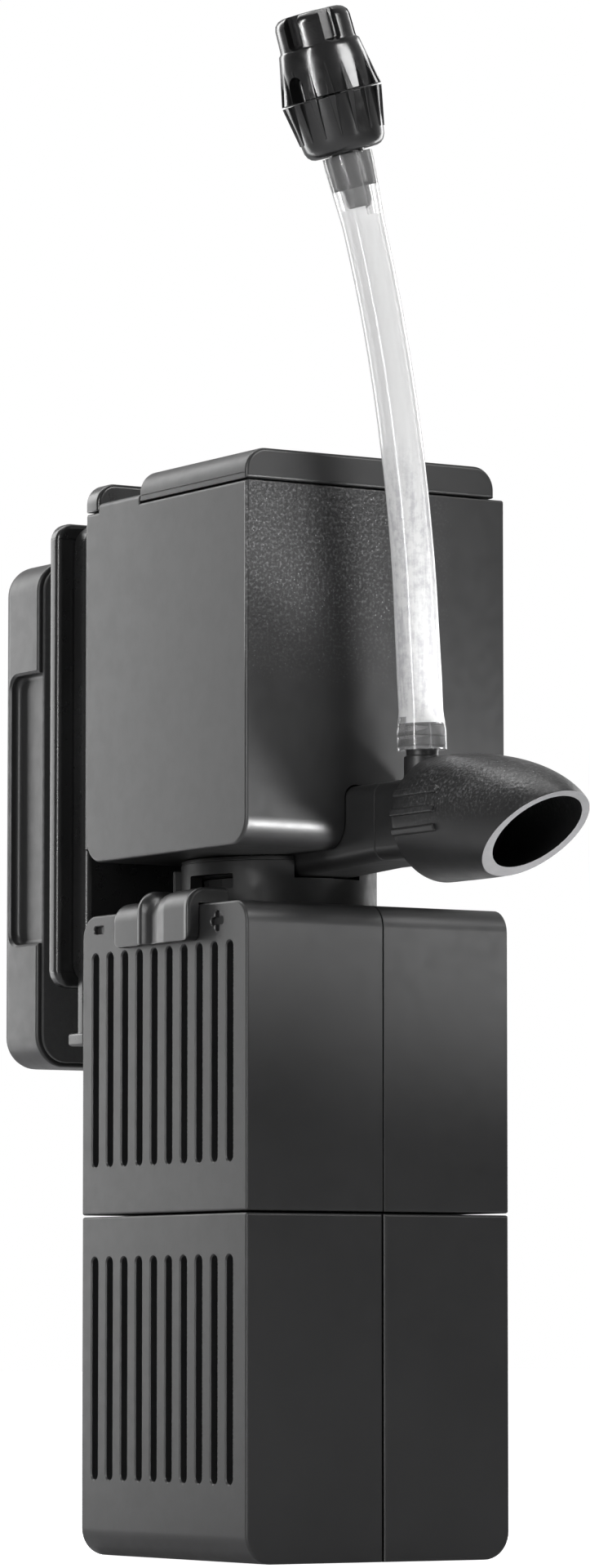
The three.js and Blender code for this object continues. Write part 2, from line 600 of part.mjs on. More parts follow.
/** Sliding carriage: plate with a dovetail tongue, magnet pockets and two stepped feet. */
function holderCarriage() {
  const { halfX, front, back, bottom, top, corner } = CARRIAGE;
  const plate = slab(halfX, bottom, top, corner, front, back);
  const tongue = dovetail(front + 0.5, 9.2, 36.1, 11.2, 160, 220);
  const feet = [];
  for (const side of [-1, 1]) {
    const x0 = side * (halfX - 3) - 3;
    feet.push(box(x0, x0 + 6, 39.5, 42, bottom - 11, bottom + 6));
    feet.push(box(x0, x0 + 6, 39.5, 46.5, bottom - 13.4, bottom - 10.4));
  }
  return cut(union(plate, tongue, ...feet), ...magnetPockets(40.3, back, GAP));
}

function innerPlate() {
  const { halfX, front, back, bottom, top, corner, edge } = PLATE;
  const ring = (y, inset) => ringXZ(y, halfX - inset, bottom + inset, top - inset, corner - inset);
  return loft([ring(front, edge), ring(front + edge, 0), ring(back - edge, 0), ring(back, edge)]);
}

/** Outer handle block: rounded back, finger grips in both sides, pockets for magnets and a lower hollow. */
function outerBlock() {
  const { halfX, front, back, bottom, top, corner, edge } = BLOCK;
  const ring = (y, inset) => ringXZ(y, halfX - inset, bottom + inset, top - inset, corner - inset);
  const rings = [ring(front, 0)];
  for (const degrees of [0, 30, 60, 90]) {
    const angle = THREE.MathUtils.degToRad(degrees);
    rings.push(ring(back - edge + edge * Math.sin(angle), edge * (1 - Math.cos(angle))));
  }
  const grips = [-1, 1].map((side) => {
    const x = side * (halfX - GRIP.depth / 2 + 0.5);
    const half = GRIP.depth / 2 + 0.5;
    return box(x - half, x + half, front - 1, GRIP.back, GRIP.bottom, GRIP.top);
  });
  const hollow = box(-28, 28, front - 1, back - 3, bottom + 4, MAGNET.bottom - 6);
  return cut(loft(rings), ...grips, hollow, ...magnetPockets(front, 61.5, GAP));
}

function outerPad() {
  const { halfX, bottom, top, corner } = BLOCK;
  const inset = PAD.inset;
  return slab(halfX - inset, bottom + inset, top - inset, corner - inset, PAD.front, PAD.back);
}

// ---------------------------------------------------------------- assembly

const FINISH = {
  satinBlack: { color: 0x2e2f31, roughness: 0.42, metalness: 0 },
  deepBlack: { color: 0x141516, roughness: 0.6, metalness: 0 },
  sponge: { color: 0x1f2a3a, roughness: 1, metalness: 0 },
  rubber: { color: 0x191919, roughness: 0.85, metalness: 0 },
  resin: { color: 0x3b3f45, roughness: 0.5, metalness: 0 },
  magnet: { color: 0x55565a, roughness: 0.35, metalness: 0.8 },
  ceramic: { color: 0xe9e6df, roughness: 0.2, metalness: 0 },
  impeller: { color: 0xb9c3cc, roughness: 0.4, metalness: 0 },
  clear: { color: 0xdfe4e4, roughness: 0.15, metalness: 0, transparent: true, opacity: 0.45 },
};

const part = new THREE.Group();
part.name = 'aquarium_filter';

function add(name, finish, body) {
  const mesh = new THREE.Mesh(geometryOf(body), new THREE.MeshStandardMaterial(FINISH[finish]));
  mesh.name = name;
  part.add(mesh);
}

const lowerShell = lowerBox();
const upperShell = upperBox();
add('lower_box_slotted_half', 'satinBlack', leftHalf(lowerShell));
add('lower_box_plain_half', 'satinBlack', rightHalf(lowerShell));
add('lower_sponge', 'sponge', lowerSponge());
add('lower_riser', 'deepBlack', riser(FOAM.lower));
add('upper_box_slotted_half', 'satinBlack', leftHalf(upperShell));
add('upper_box_plain_half', 'satinBlack', rightHalf(upperShell));
add('upper_sponge', 'sponge', sponge(FOAM.upper));
add('upper_riser', 'deepBlack', riser(FOAM.upper));
add('coupling_ring', 'deepBlack', couplingRing());
add('flow_slider', 'satinBlack', flowSlider());

add('neck_collar', 'satinBlack', neckCollar());
add('neck_seal', 'rubber', torus(15.8, 0.9, 142.45, 0, PORT.y));
add('impeller_cover', 'deepBlack', impellerCover());
add('volute_duct', 'satinBlack', voluteDuct());
add('volute_seal', 'rubber', torus(13, 0.85, 167.2, 0, PORT.y));
add('impeller', 'impeller', impeller());
add('rotor_magnet', 'magnet', rotorMagnet());
add('impeller_shaft', 'ceramic', disc(SHAFT.radius, SHAFT.bottom, SHAFT.top, 0, PORT.y, RUNNING_SEGMENTS));
add('lower_bush', 'rubber', tube(2.3, 1.55, 144.9, 147.2, 0, PORT.y));
add('upper_bush', 'rubber', tube(3.3, 1.55, 206.4, 210.6, 0, PORT.y));
add('motor_block', 'resin', motorBlock());
add('pump_housing', 'satinBlack', pumpHousing());
add('pump_lid', 'satinBlack', pumpLid());
add('cable_cover', 'satinBlack', cableCover());
add('cable_gland', 'rubber', cableGland());

add('outlet_adapter', 'satinBlack', outletAdapter());
add('outlet_nozzle', 'satinBlack', nozzle());
add('air_hose', 'clear', airHose());
add('air_valve_body', 'satinBlack', valveBody());
add('air_valve_cap', 'satinBlack', valveCap());

add('holder_rail', 'satinBlack', holderRail());
add('holder_carriage', 'satinBlack', holderCarriage());
add('inner_plate', 'satinBlack', innerPlate());
add('outer_block', 'satinBlack', outerBlock());
add('outer_pad', 'rubber', outerPad());
const innerMagnets = magnetPockets(40.3, 44, 0);
const outerMagnets = magnetPockets(BLOCK.front + GAP, 61.5, 0);
add('inner_magnet_right', 'magnet', innerMagnets[0]);
add('inner_magnet_left', 'magnet', innerMagnets[1]);
add('outer_magnet_right', 'magnet', outerMagnets[0]);
add('outer_magnet_left', 'magnet', outerMagnets[1]);

export default part;
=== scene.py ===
"""Studio picture of a submersible aquarium filter with a magnetic pane holder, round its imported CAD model.

Every visible piece is modelled here and replaces its CAD solid; the inner works keep their solids and get
a material.
"""

import math

import bmesh
import bpy
from mathutils import Matrix, Vector, noise


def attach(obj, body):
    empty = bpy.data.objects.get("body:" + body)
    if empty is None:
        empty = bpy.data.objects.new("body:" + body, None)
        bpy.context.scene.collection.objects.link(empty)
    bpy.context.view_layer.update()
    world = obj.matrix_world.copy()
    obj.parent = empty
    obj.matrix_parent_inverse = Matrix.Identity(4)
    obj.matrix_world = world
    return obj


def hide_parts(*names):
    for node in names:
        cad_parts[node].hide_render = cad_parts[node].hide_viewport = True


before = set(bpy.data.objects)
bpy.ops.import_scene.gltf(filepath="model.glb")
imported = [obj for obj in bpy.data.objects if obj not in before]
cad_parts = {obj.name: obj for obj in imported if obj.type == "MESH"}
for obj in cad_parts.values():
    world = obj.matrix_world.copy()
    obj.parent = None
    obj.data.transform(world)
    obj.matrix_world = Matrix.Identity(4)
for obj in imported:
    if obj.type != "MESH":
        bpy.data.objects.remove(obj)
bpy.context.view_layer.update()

MM = 0.001
GAP = 0.3
SHARP = math.radians(38)  # edges sharper than this stay sharp in the shading

BOX_X, BOX_Y, WALL, SPLIT = 33.0, 34.6, 1.8, 1.0
LOWER_Z, LOWER_SLOTS, FOOT_RADIUS = (0.0, 73.3), (16.5, 64.5), 6.0
UPPER_Z, UPPER_SLOTS, SHOULDER_RADIUS = (73.7, 139.0), (84.1, 130.6), 5.0
SLOT_COUNT, SLOT_FIRST, SLOT_PITCH, SLOT_WIDTH = 10, 28.9, 6.26, 2.8
AXIS_Y = 6.0  # the pump's axis
PORT_RADIUS = 17.0
FOAM_X, FOAM_Y, FOAM_LOWER, FOAM_UPPER, FOAM_HOLE = 30.6, 32.2, (2.4, 69.4), (77.8, 134.2), 9.6
FOAM_CELLS = 22  # mesh cells across half the foam's width
FOAM_PIT = 0.35

SLIDER_FRONT, SLIDER_REAR, SLIDER_BOTTOM = -15.4, 18.0, 131.2
SLIDER_REACH, SLIDER_BEND, SLIDER_CORNER = -26.0, 4.4, 2.2
SLIDER_STEP = 5.9  # where its plate meets the raised lip

PUMP_X, PUMP_Y, PUMP_Z, PUMP_RADIUS = 32.8, 34.0, (150.7, 228.0), 6.0
DECK_Y, DECK_TOP = (10.9, 28.4), 230.0
LID_X, LID_Y, LID_Z = (-32.8, 30.2), (-34.0, 10.7), (228.3, 235.0)
COVER_Y, COVER_Z = (28.6, 34.0), (228.3, 234.6)
GLAND_X, GLAND_Z, GLAND_Y = 20.0, 231.6, (34.3, 38.1)

CASE_WALL, LID_WALL = 2.2, 2.0

COLLAR_RADIUS, COLLAR_BORE, COLLAR_Z, WINDOW_Z = 21.4, 18.5, (139.3, 150.4), (143.6, 146.8)
COLLAR_MOUTH, COLLAR_FOOT, COLLAR_WEB = 14.2, 136.4, 2.0
LUG_ANGLES, LUG_Z = (148, 32), (142.2, 148.6)
VOLUTE_RADIUS, VOLUTE_Z, CHAMBER_RADIUS, CHAMBER_ROOF = 18.2, (146.3, 166.0), 15.6, 163.5
DUCT_X, DUCT_TOP, DUCT_CORNER, DUCT_JOINT, DUCT_BORE = 8.0, 164.0, 2.8, -45.2, 6.2
DUCT_BOTTOM, DUCT_NECK_BOTTOM = 147.4, 146.0
OUTLET_Z = 155.3
SPIGOT_START, SPIGOT_END, SPIGOT_RADIUS = -59.3, -67.5, 9.0

NOZZLE_REAR, NOZZLE_RADIUS, NOZZLE_LENGTH, NOZZLE_POWER, NOZZLE_DROOP = -59.7, 13.3, 51.4, 2.5, 4.1
NOZZLE_WALL, NOZZLE_SHOULDER, NOZZLE_CUT = 1.7, 6.0, 42.87
MOUTH_NORMAL = Vector((0, -1, -1.64)).normalized()
RIB_ANGLES, RIB_LENGTH = (-14.5, 3.0, 21.0), 16.0

NIPPLE_Y, NIPPLE_TOP, NIPPLE_BORE = -51.5, 170.2, 1.5
HOSE_RADIUS, HOSE_BORE, BARB_TOP, STEM_LENGTH = 4.6, 3.0, 176.6, 12.4
HOSE_ROUTE = ((0, 170.5), (-0.5, 182), (-1.3, 196), (-2.2, 210), (-4, 227), (-6.8, 246), (-10.3, 264),
              (-14.5, 281), (-18.7, 295.9))
VALVE_FOOT, VALVE_TILT = (-18.8, NIPPLE_Y, 296.3), 17.5
VALVE_SPLIT, VALVE_SHOULDER, VALVE_TOP = 12.3, 23.2, 30.4
VALVE_PIN, VALVE_PIN_BORE, VALVE_RECESS = 2.2, 2.28, 5.2
WINDOW_ANGLE = 10  # the air window's turn about the valve's axis, in degrees
VALVE_BELLY, VALVE_END, VALVE_CROWN, VALVE_RIBS, VALVE_LOBES = 9.8, 8.9, 8.4, 16, 6

RAIL_X, RAIL_Y, RAIL_Z = 30.6, (34.3, 38.2), (154.0, 228.3)
CARRIAGE_X, CARRIAGE_Y, CARRIAGE_Z = 30.0, (38.5, 44.3), (124.6, 227.0)
PLATE_X, PLATE_Y, PLATE_Z = 33.9, (44.6, 48.4), (124.1, 227.5)
BLOCK_X, BLOCK_Y, BLOCK_Z = 33.0, (54.9, 72.0), (107.0, 220.3)
PAD_Y = (53.7, 54.6)
MAGNET_X, MAGNET_Z, MAGNET_FRONT, MAGNET_BACK = (3.7, 22.3), (141.7, 208.3), 40.0, 61.8  # magnet pockets

CAMERA_AZIMUTH, CAMERA_TILT, CAMERA_LENS = -31.897, 5.15, 140.65
CAMERA_TARGET, CAMERA_DISTANCE = (0.405, 0, 167.349), 1335.393

# studio, in metres: the white sweep's direction and brightness, then each light's
# name, place, target, size, power and spread in degrees
SWEEP_DIRECTION = (0.526, 0.846, 0.09)
WORLD_FRONT, WORLD_SWEEP = 0.14, 0.5
LIGHTS = (
    ("left_flank", (-0.11, 0.24, 0.3), (-0.033, 0.03, 0.2), (0.08, 0.8), 1.1, 180),
    ("edge_strip", (-0.95, -0.42, 0.3), (0, 0, 0.17), (0.05, 1.0), 9.0, 180),
    ("front_strip", (0.16, -1.1, 0.4), (0, 0, 0.25), (0.16, 0.7), 0.8, 180),
    ("front_softbox", (0.14, -0.36, 0.44), (-0.02, -0.03, 0.21), (0.2, 0.14), 1.2, 180),
    ("low_strip", (0.12, -0.26, 0.03), (0, -0.034, 0.168), (0.16, 0.03), 0.11, 26),
    ("right_rim", (0.75, 0.25, 0.3), (0, 0, 0.2), (0.25, 0.9), 3.0, 180),
    ("top", (-0.1, 0.25, 1.5), (0, 0, 0.2), (1.0, 1.0), 6.0, 180),
)

# ---------------------------------------------------------------- mesh tools

PLACE = {
    "x": lambda u, v, t: (t, u, v),
    "y": lambda u, v, t: (u, t, v),
    "z": lambda u, v, t: (u, v, t),
}


def rounded(u0, u1, v0, v1, radii, inset=0.0, steps=8):
    """Outline of a rectangle; radii run lower left, lower right, upper right, upper left."""
    u0, u1, v0, v1 = u0 + inset, u1 - inset, v0 + inset, v1 - inset
    outline = []
    corners = ((u0, v0, 1, 1, 180), (u1, v0, -1, 1, 270), (u1, v1, -1, -1, 0), (u0, v1, 1, -1, 90))
    for (u, v, su, sv, start), radius in zip(corners, radii):
        r = max(radius - inset, 0.04)
        for k in range(steps + 1):
            a = math.radians(start + 90 * k / steps)
            outline.append((u + su * r + r * math.cos(a), v + sv * r + r * math.sin(a)))
    return outline


def loft(rings, closed=False):
    """Skin over equal rings of points; its ends are capped, or joined to each other when closed."""
    bm = bmesh.new()
    rows = [[bm.verts.new(p) for p in ring] for ring in rings]
    pairs = list(zip(rows, rows[1:])) + ([(rows[-1], rows[0])] if closed else [])
    for a, b in pairs:
        for j in range(len(a)):
            k = (j + 1) % len(a)
            bm.faces.new((a[j], a[k], b[k], b[j]))
    if not closed:
        bm.faces.new(rows[0][::-1])
        bm.faces.new(rows[-1])
    bmesh.ops.recalc_face_normals(bm, faces=bm.faces)
    return bm


def slab(axis, span, bounds, radii, edges=(0.5, 0.5), steps=8, edge_steps=4):
    """Bar along an axis with a rounded outline; edges are the rounding radii of its two ends."""
    first, last = edges
    quarter = [math.pi / 2 * k / edge_steps for k in range(edge_steps + 1)]
    stations = [(span[0] + first * (1 - math.cos(a)), first * (1 - math.sin(a))) for a in quarter]
    stations += [(span[1] - last * (1 - math.cos(a)), last * (1 - math.sin(a))) for a in quarter[::-1]]
    return flared(axis, stations, bounds, radii, steps)


def flared(axis, stations, bounds, radii, steps=8):
    """Bar whose rounded outline changes along an axis; stations are (place, inset) pairs."""
    place = PLACE[axis]
    return loft([[place(u, v, t) for u, v in rounded(*bounds, radii, inset, steps)] for t, inset in stations])


def block(x0, x1, y0, y1, z0, z1):
    return flared("z", ((z0, 0), (z1, 0)), (x0, x1, y0, y1), (0.04,) * 4, 1)


def turned(profile, segments=72, closed=False):
    """Solid of revolution about Z from (radius, height) pairs."""
    angles = [2 * math.pi * k / segments for k in range(segments)]
    return loft([[(r * math.cos(a), r * math.sin(a), z) for a in angles] for r, z in profile], closed)


def rod(radius, z0, z1, segments=64, x=0.0, y=AXIS_Y):
    return moved(turned(((radius, z0), (radius, z1)), segments), Matrix.Translation((x, y, 0)))


def rod_y(radius, y0, y1, x=0.0, z=OUTLET_Z, segments=64):
    """Cylinder along Y."""
    angles = [2 * math.pi * k / segments for k in range(segments)]
    return loft([[(x + radius * math.cos(a), y, z + radius * math.sin(a)) for a in angles] for y in (y0, y1)])


def moved(bm, matrix):
    bmesh.ops.transform(bm, matrix=matrix, verts=bm.verts)
    return bm


def merged(parts):
    """Several separate bmeshes as one."""
    mesh = bpy.data.meshes.new("merge")
    whole = bmesh.new()
    for part in parts:
        part.to_mesh(mesh)
        part.free()
        whole.from_mesh(mesh)
    bpy.data.meshes.remove(mesh)
    return whole


def raw(name, *parts):
    """One object, in metres, from bmeshes in millimetres."""
    mesh = bpy.data.meshes.new(name)
    whole = bmesh.new()
    for part in parts:
        part.to_mesh(mesh)
        part.free()
        whole.from_mesh(mesh)
    bmesh.ops.scale(whole, vec=(MM, MM, MM), verts=whole.verts)
    whole.to_mesh(mesh)
    whole.free()
    obj = bpy.data.objects.new(name, mesh)
    bpy.context.scene.collection.objects.link(obj)
    return obj


def with_modifiers_applied(obj):
    graph = bpy.context.evaluated_depsgraph_get()
    mesh = bpy.data.meshes.new_from_object(obj.evaluated_get(graph))
    old = obj.data
    obj.modifiers.clear()
    obj.data = mesh
    bpy.data.meshes.remove(old)
    return obj


def combined(obj, operation, parts):
    for part in parts:
        tool = raw("tool", part)
        boolean = obj.modifiers.new("boolean", "BOOLEAN")
        boolean.operation = operation
        boolean.solver = "EXACT"
        boolean.object = tool
        with_modifiers_applied(obj)
        bpy.data.objects.remove(tool)
    return obj


def cut(obj, *parts):
    return combined(obj, "DIFFERENCE", parts)


def joined(obj, *parts):
    return combined(obj, "UNION", parts)


def less(outer, core):
    """One bmesh with another cut out of it, in millimetres again, to be used as a cutter."""
    obj = cut(raw("cutter", outer), core)
    bm = bmesh.new()
    bm.from_mesh(obj.data)
    bmesh.ops.scale(bm, vec=(1 / MM,) * 3, verts=bm.verts)
    bpy.data.objects.remove(obj)
    return bm


def softened(obj, bevel=0.0, angle=SHARP):
    """Rounds what the cuts left sharp, and shades curved faces smooth while flat ones stay flat."""
    if bevel:
        weld = obj.modifiers.new("weld", "WELD")
        weld.merge_threshold = 0.01 * MM
        rounding = obj.modifiers.new("rounding", "BEVEL")
        rounding.width = bevel * MM
        rounding.segments = 2
        rounding.limit_method = "ANGLE"
        rounding.angle_limit = angle
        rounding.miter_outer = "MITER_ARC"
        with_modifiers_applied(obj)
    obj.data.shade_smooth()
    obj.data.set_sharp_from_angle(angle=angle)
    normals = obj.modifiers.new("normals", "WEIGHTED_NORMAL")
    normals.keep_sharp = True
    normals.weight = 60
    return obj


def piece(obj, body, material, replaced=()):
    """Dresses an object and makes it ride on its body in place of CAD nodes."""
    obj.data.materials.clear()
    for each in material if isinstance(material, tuple) else (material,):
        obj.data.materials.append(each)
    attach(obj, body)
    if replaced:
        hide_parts(*replaced)
    return obj


# ---------------------------------------------------------------- materials


class Shader:
    """A Principled material with short ways to add and link nodes."""

    def __init__(self, name, **settings):
        self.material = bpy.data.materials.new(name)
        self.material.use_nodes = True
        self.tree = self.material.node_tree
        self.surface = self.tree.nodes["Principled BSDF"]
        for socket, value in settings.items():
            self.surface.inputs[socket.replace("_", " ")].default_value = value
        self.place = self.add("ShaderNodeTexCoord").outputs["Object"]

    def add(self, kind, inputs=None, **settings):
        node = self.tree.nodes.new(kind)
        for key, value in settings.items():
            setattr(node, key, value)
        for socket, value in (inputs or {}).items():
            if isinstance(value, bpy.types.NodeSocket):
                self.tree.links.new(value, node.inputs[socket])
            else:
                node.inputs[socket].default_value = value
        return node

    def noise(self, scale, detail=3.0, roughness=0.55, place=None):
        inputs = {"Vector": place or self.place, "Scale": scale, "Detail": detail, "Roughness": roughness}
        return self.add("ShaderNodeTexNoise", inputs).outputs["Fac"]

    def cells(self, scale, feature="F1"):
        inputs = {"Vector": self.place, "Scale": scale}
        return self.add("ShaderNodeTexVoronoi", inputs, feature=feature).outputs["Distance"]

    def range(self, value, low, high, to_low, to_high):
        inputs = {"Value": value, "From Min": low, "From Max": high, "To Min": to_low, "To Max": to_high}
        return self.add("ShaderNodeMapRange", inputs).outputs["Result"]

    def maths(self, operation, a, b=0.0, clamp=False):
        return self.add("ShaderNodeMath", {0: a, 1: b}, operation=operation, use_clamp=clamp).outputs[0]

    def blend(self, factor, a, b):
        node = self.add("ShaderNodeMix", data_type="RGBA")
        for socket, value in (("Factor", factor), ("A", a), ("B", b)):
            target = [s for s in node.inputs if s.name == socket and s.enabled][0]
            if isinstance(value, bpy.types.NodeSocket):
                self.tree.links.new(value, target)
            else:
                target.default_value = value
        return [s for s in node.outputs if s.enabled][0]

    def bump(self, height, strength, distance, normal=None):
        inputs = {"Height": height, "Strength": strength, "Distance": distance * MM}
        if normal is not None:
            inputs["Normal"] = normal
        return self.add("ShaderNodeBump", inputs).outputs["Normal"]

    def use(self, socket, value):
        self.tree.links.new(value, self.surface.inputs[socket])
        return self


def grey(value):
    """Colour of this brightness, a touch cool."""
    return (value, value, value * 1.02, 1)


def plastic(name, dark, light, smooth, rough, grain=0.07, wave=0.015, specular=0.5):
    """Injection-moulded plastic: cloudy tone, fine spark grain and slight sink waviness."""
    shader = Shader(name, IOR=1.5, Specular_IOR_Level=specular)
    tone = shader.range(shader.noise(45, 5), 0.35, 0.65, 0, 1)
    shader.use("Base Color", shader.blend(tone, grey(dark), grey(light)))
    shader.use("Roughness", shader.range(shader.noise(320, 4), 0.35, 0.65, smooth, rough))
    grains = shader.maths("ADD", shader.noise(2600, 2), shader.cells(3400))
    normal = shader.bump(grains, grain, 0.05)
    shader.use("Normal", shader.bump(shader.noise(28, 1), wave, 1.2, normal))
    return shader


def between(shader, axis, low, high, soft):
    """1 where a coordinate lies between two values in mm, fading over soft mm."""
    split = shader.add("ShaderNodeSeparateXYZ", {"Vector": shader.place}).outputs[axis]
    rise = shader.range(split, (low - soft) * MM, low * MM, 0, 1)
    fall = shader.range(split, high * MM, (high + soft) * MM, 1, 0)
    return shader.maths("MULTIPLY", rise, fall, True)


def painted_highlight_sparkle(shader, mask, amount, strength):
    """Painted highlight sparkle: pale pin-prick dots painted in as the glints of a highlight, and a rougher
    frosted skin, where the mask is high.
    """
    dots = shader.range(shader.cells(900), 0.16, 0.1, 0, 1)
    patchy = shader.range(shader.noise(140, 3), 0.42, 0.62, 0, 1)
    fine = shader.range(shader.noise(1500, 3), 0.5, 0.72, 0, 1)
    specks = shader.maths("ADD", shader.maths("MULTIPLY", dots, patchy), shader.maths("MULTIPLY", fine, 0.35))
    spread = shader.maths("MULTIPLY", shader.maths("MULTIPLY", specks, mask), amount, True)
    base = shader.surface.inputs["Base Color"].links[0].from_socket
    shader.use("Base Color", shader.blend(spread, base, grey(0.5)))
    normal = shader.surface.inputs["Normal"].links[0].from_socket
    lumps = shader.maths("MULTIPLY", shader.noise(1100, 2), mask)
    shader.use("Normal", shader.bump(lumps, strength, 0.4, normal))
    return shader


def case_material():
    """The pump case, with pale specks painted on the upper left of its front as the sparkle of the highlight
    there.
    """
    shader = plastic("case_plastic", 0.011, 0.014, 0.38, 0.43)
    # mask of the painted highlight sparkle: the upper left of the front
    mask = shader.maths("MULTIPLY", between(shader, "X", -33, -6, 26), between(shader, "Z", 208, 240, 24))
    front = between(shader, "Y", -60, -33.4, 0.4)
    return painted_highlight_sparkle(shader, shader.maths("MULTIPLY", mask, front, True), 0.42, 0.5).material


def nozzle_material():
    shader = plastic("nozzle_plastic", 0.010, 0.014, 0.33, 0.39, 0.1)
    # pale specks painted on the nozzle's top near its mouth as the sparkle of the highlight there
    mask = shader.maths("MULTIPLY", between(shader, "Z", 159, 190, 7), between(shader, "Y", -98, -70, 12))
    return painted_highlight_sparkle(shader, mask, 0.4, 0.4).material


def rim_material():
    """Paler, smoother ring round the nozzle's mouth."""
    shader = Shader("nozzle_rim", IOR=1.5)
    shader.use("Base Color", shader.blend(shader.noise(160, 4), grey(0.09), grey(0.13)))
    shader.use("Roughness", shader.range(shader.noise(500, 3), 0.3, 0.7, 0.28, 0.5))
    shader.use("Normal", shader.bump(shader.noise(1300, 2), 0.15, 0.08))
    return shader.material


def rubber_material():
    shader = Shader("black_rubber", IOR=1.5, Sheen_Weight=0.15)
    shader.use("Base Color", shader.blend(shader.noise(90, 5), grey(0.010), grey(0.022)))
    shader.use("Roughness", shader.range(shader.noise(600, 3), 0.3, 0.7, 0.62, 0.85))
    shader.use("Normal", shader.bump(shader.noise(1900, 3), 0.3, 0.1))
    return shader.material


def foam_material():
    """Open-cell foam: paler struts, with the pores between them painted darker as painted shade inside the
    cells.
    """
    shader = Shader("filter_foam", Sheen_Weight=0.3, Specular_IOR_Level=0.2)
    struts = shader.range(shader.cells(900, "DISTANCE_TO_EDGE"), 0.0, 0.16, 1, 0)
    # painted shade: the pores get a darker colour than the struts
    pore_shade_cloud = shader.blend(shader.noise(60, 4), (0.006, 0.008, 0.012, 1), (0.014, 0.019, 0.03, 1))
    shader.use("Base Color", shader.blend(struts, pore_shade_cloud, (0.03, 0.042, 0.066, 1)))
    shader.use("Roughness", shader.range(struts, 0, 1, 1.0, 0.8))
    shader.use("Normal", shader.bump(struts, 0.9, 0.7))
    return shader.material


def magnet_material():
    shader = Shader("ferrite_magnet", Metallic=0.55)
    shader.use("Base Color", shader.blend(shader.noise(120, 6), grey(0.06), grey(0.12)))
    shader.use("Roughness", shader.range(shader.noise(420, 4), 0.3, 0.7, 0.34, 0.55))
    shader.use("Normal", shader.bump(shader.cells(1400), 0.2, 0.1))
    return shader.material


def resin_material():
    shader = Shader("potting_resin", Coat_Weight=0.3)
    dark, light = (0.03, 0.034, 0.04, 1), (0.05, 0.056, 0.066, 1)
    shader.use("Base Color", shader.blend(shader.noise(30, 6), dark, light))
    shader.use("Roughness", shader.range(shader.noise(200, 3), 0.3, 0.7, 0.25, 0.5))
    shader.use("Normal", shader.bump(shader.noise(40, 3), 0.3, 0.8))
    return shader.material


def ceramic_material():
    shader = Shader("shaft_ceramic", Coat_Weight=0.4)
    shader.use("Base Color", shader.blend(shader.noise(400, 4), (0.72, 0.69, 0.64, 1), (0.82, 0.8, 0.76, 1)))
    shader.use("Roughness", shader.range(shader.noise(900, 3), 0.3, 0.7, 0.12, 0.22))
    shader.use("Normal", shader.bump(shader.noise(2400, 2), 0.05, 0.05))
    return shader.material


def impeller_material():
    shader = Shader("impeller_plastic", IOR=1.5)
    shader.use("Base Color", shader.blend(shader.noise(80, 5), (0.2, 0.25, 0.3, 1), (0.28, 0.33, 0.38, 1)))
    shader.use("Roughness", shader.range(shader.noise(500, 3), 0.3, 0.7, 0.35, 0.5))
    shader.use("Normal", shader.bump(shader.noise(1600, 2), 0.12, 0.08))
    return shader.material


def hose_material(name, transmission, film_tone):
    """Silicone hose: milky, with painted shade darkening it towards its flanks, and a mottled film inside its
    lower half.
    """
    shader = Shader(name, IOR=1.4, Transmission_Weight=transmission, Specular_IOR_Level=0.4)
    flank = shader.add("ShaderNodeLayerWeight", {"Blend": 0.35}).outputs["Facing"]
    # painted shade: the base colour darkens where the hose's surface turns away from the view
    wall_with_flank_shade = shader.blend(shader.range(flank, 0.3, 0.95, 0, 1), (0.82, 0.82, 0.82, 1), (0.55, 0.55, 0.55, 1))
    streaks = shader.add("ShaderNodeMapping", {"Vector": shader.place, "Scale": (1, 1, 0.08)})
    along = streaks.outputs["Vector"]
    mottle = shader.maths("ADD", shader.noise(900, 4, 0.6, along), shader.noise(500, 5, 0.7))
    film = shader.maths("MULTIPLY", shader.range(mottle, 0.9, 1.15, 0, 1), between(shader, "Z", 160, 224, 14))
    shader.use("Base Color", shader.blend(film, wall_with_flank_shade, grey(film_tone)))
    shader.use("Roughness", shader.range(shader.noise(180, 4), 0.3, 0.7, 0.06, 0.2))
    shader.use("Normal", shader.bump(shader.noise(240, 4), 0.2, 0.25))
    return shader.material


def floor_material():
    """Pale floor that the camera sees as bright as the sweep, so that no horizon shows."""
    shader = Shader("studio_floor", Emission_Color=(1, 1, 1, 1))
    seen = shader.add("ShaderNodeLightPath").outputs["Is Camera Ray"]
    shader.use("Base Color", shader.blend(shader.noise(3, 2), grey(0.5), grey(0.52)))
    shader.use("Roughness", shader.range(shader.noise(5, 2), 0.3, 0.7, 0.75, 0.85))
    shader.use("Emission Strength", shader.range(seen, 0, 1, 0.1, 1.0))
    return shader.material


BLACK = plastic("satin_plastic", 0.011, 0.014, 0.39, 0.44).material
GLOSS = plastic("glossy_plastic", 0.008, 0.011, 0.27, 0.31, 0.004, 0.002).material
SLIDER = plastic("slider_plastic", 0.011, 0.014, 0.34, 0.38, 0.02).material
VALVE = plastic("valve_plastic", 0.006, 0.012, 0.16, 0.26, 0.1, 0.14, 0.7).material
# darker, matt copy of the black plastic: the matt finish is real, and on the neck collar its darker colour is
# painted shade under the pump case's overhang
MATT_SHADE_PLASTIC = plastic("matt_plastic_painted_shade", 0.005, 0.009, 0.42, 0.55, 0.05, 0.01, 0.35).material
CASE = case_material()
NOZZLE = nozzle_material()
RIM = rim_material()
RUBBER = rubber_material()
FOAM = foam_material()
MAGNET = magnet_material()
RESIN = resin_material()
CERAMIC = ceramic_material()
IMPELLER = impeller_material()
HOSE = hose_material("silicone_hose", 0.45, 0.6)
HOSE_CLEAR = hose_material("silicone_hose_stretched", 0.9, 0.9)

# ---------------------------------------------------------------- camera, then the air line


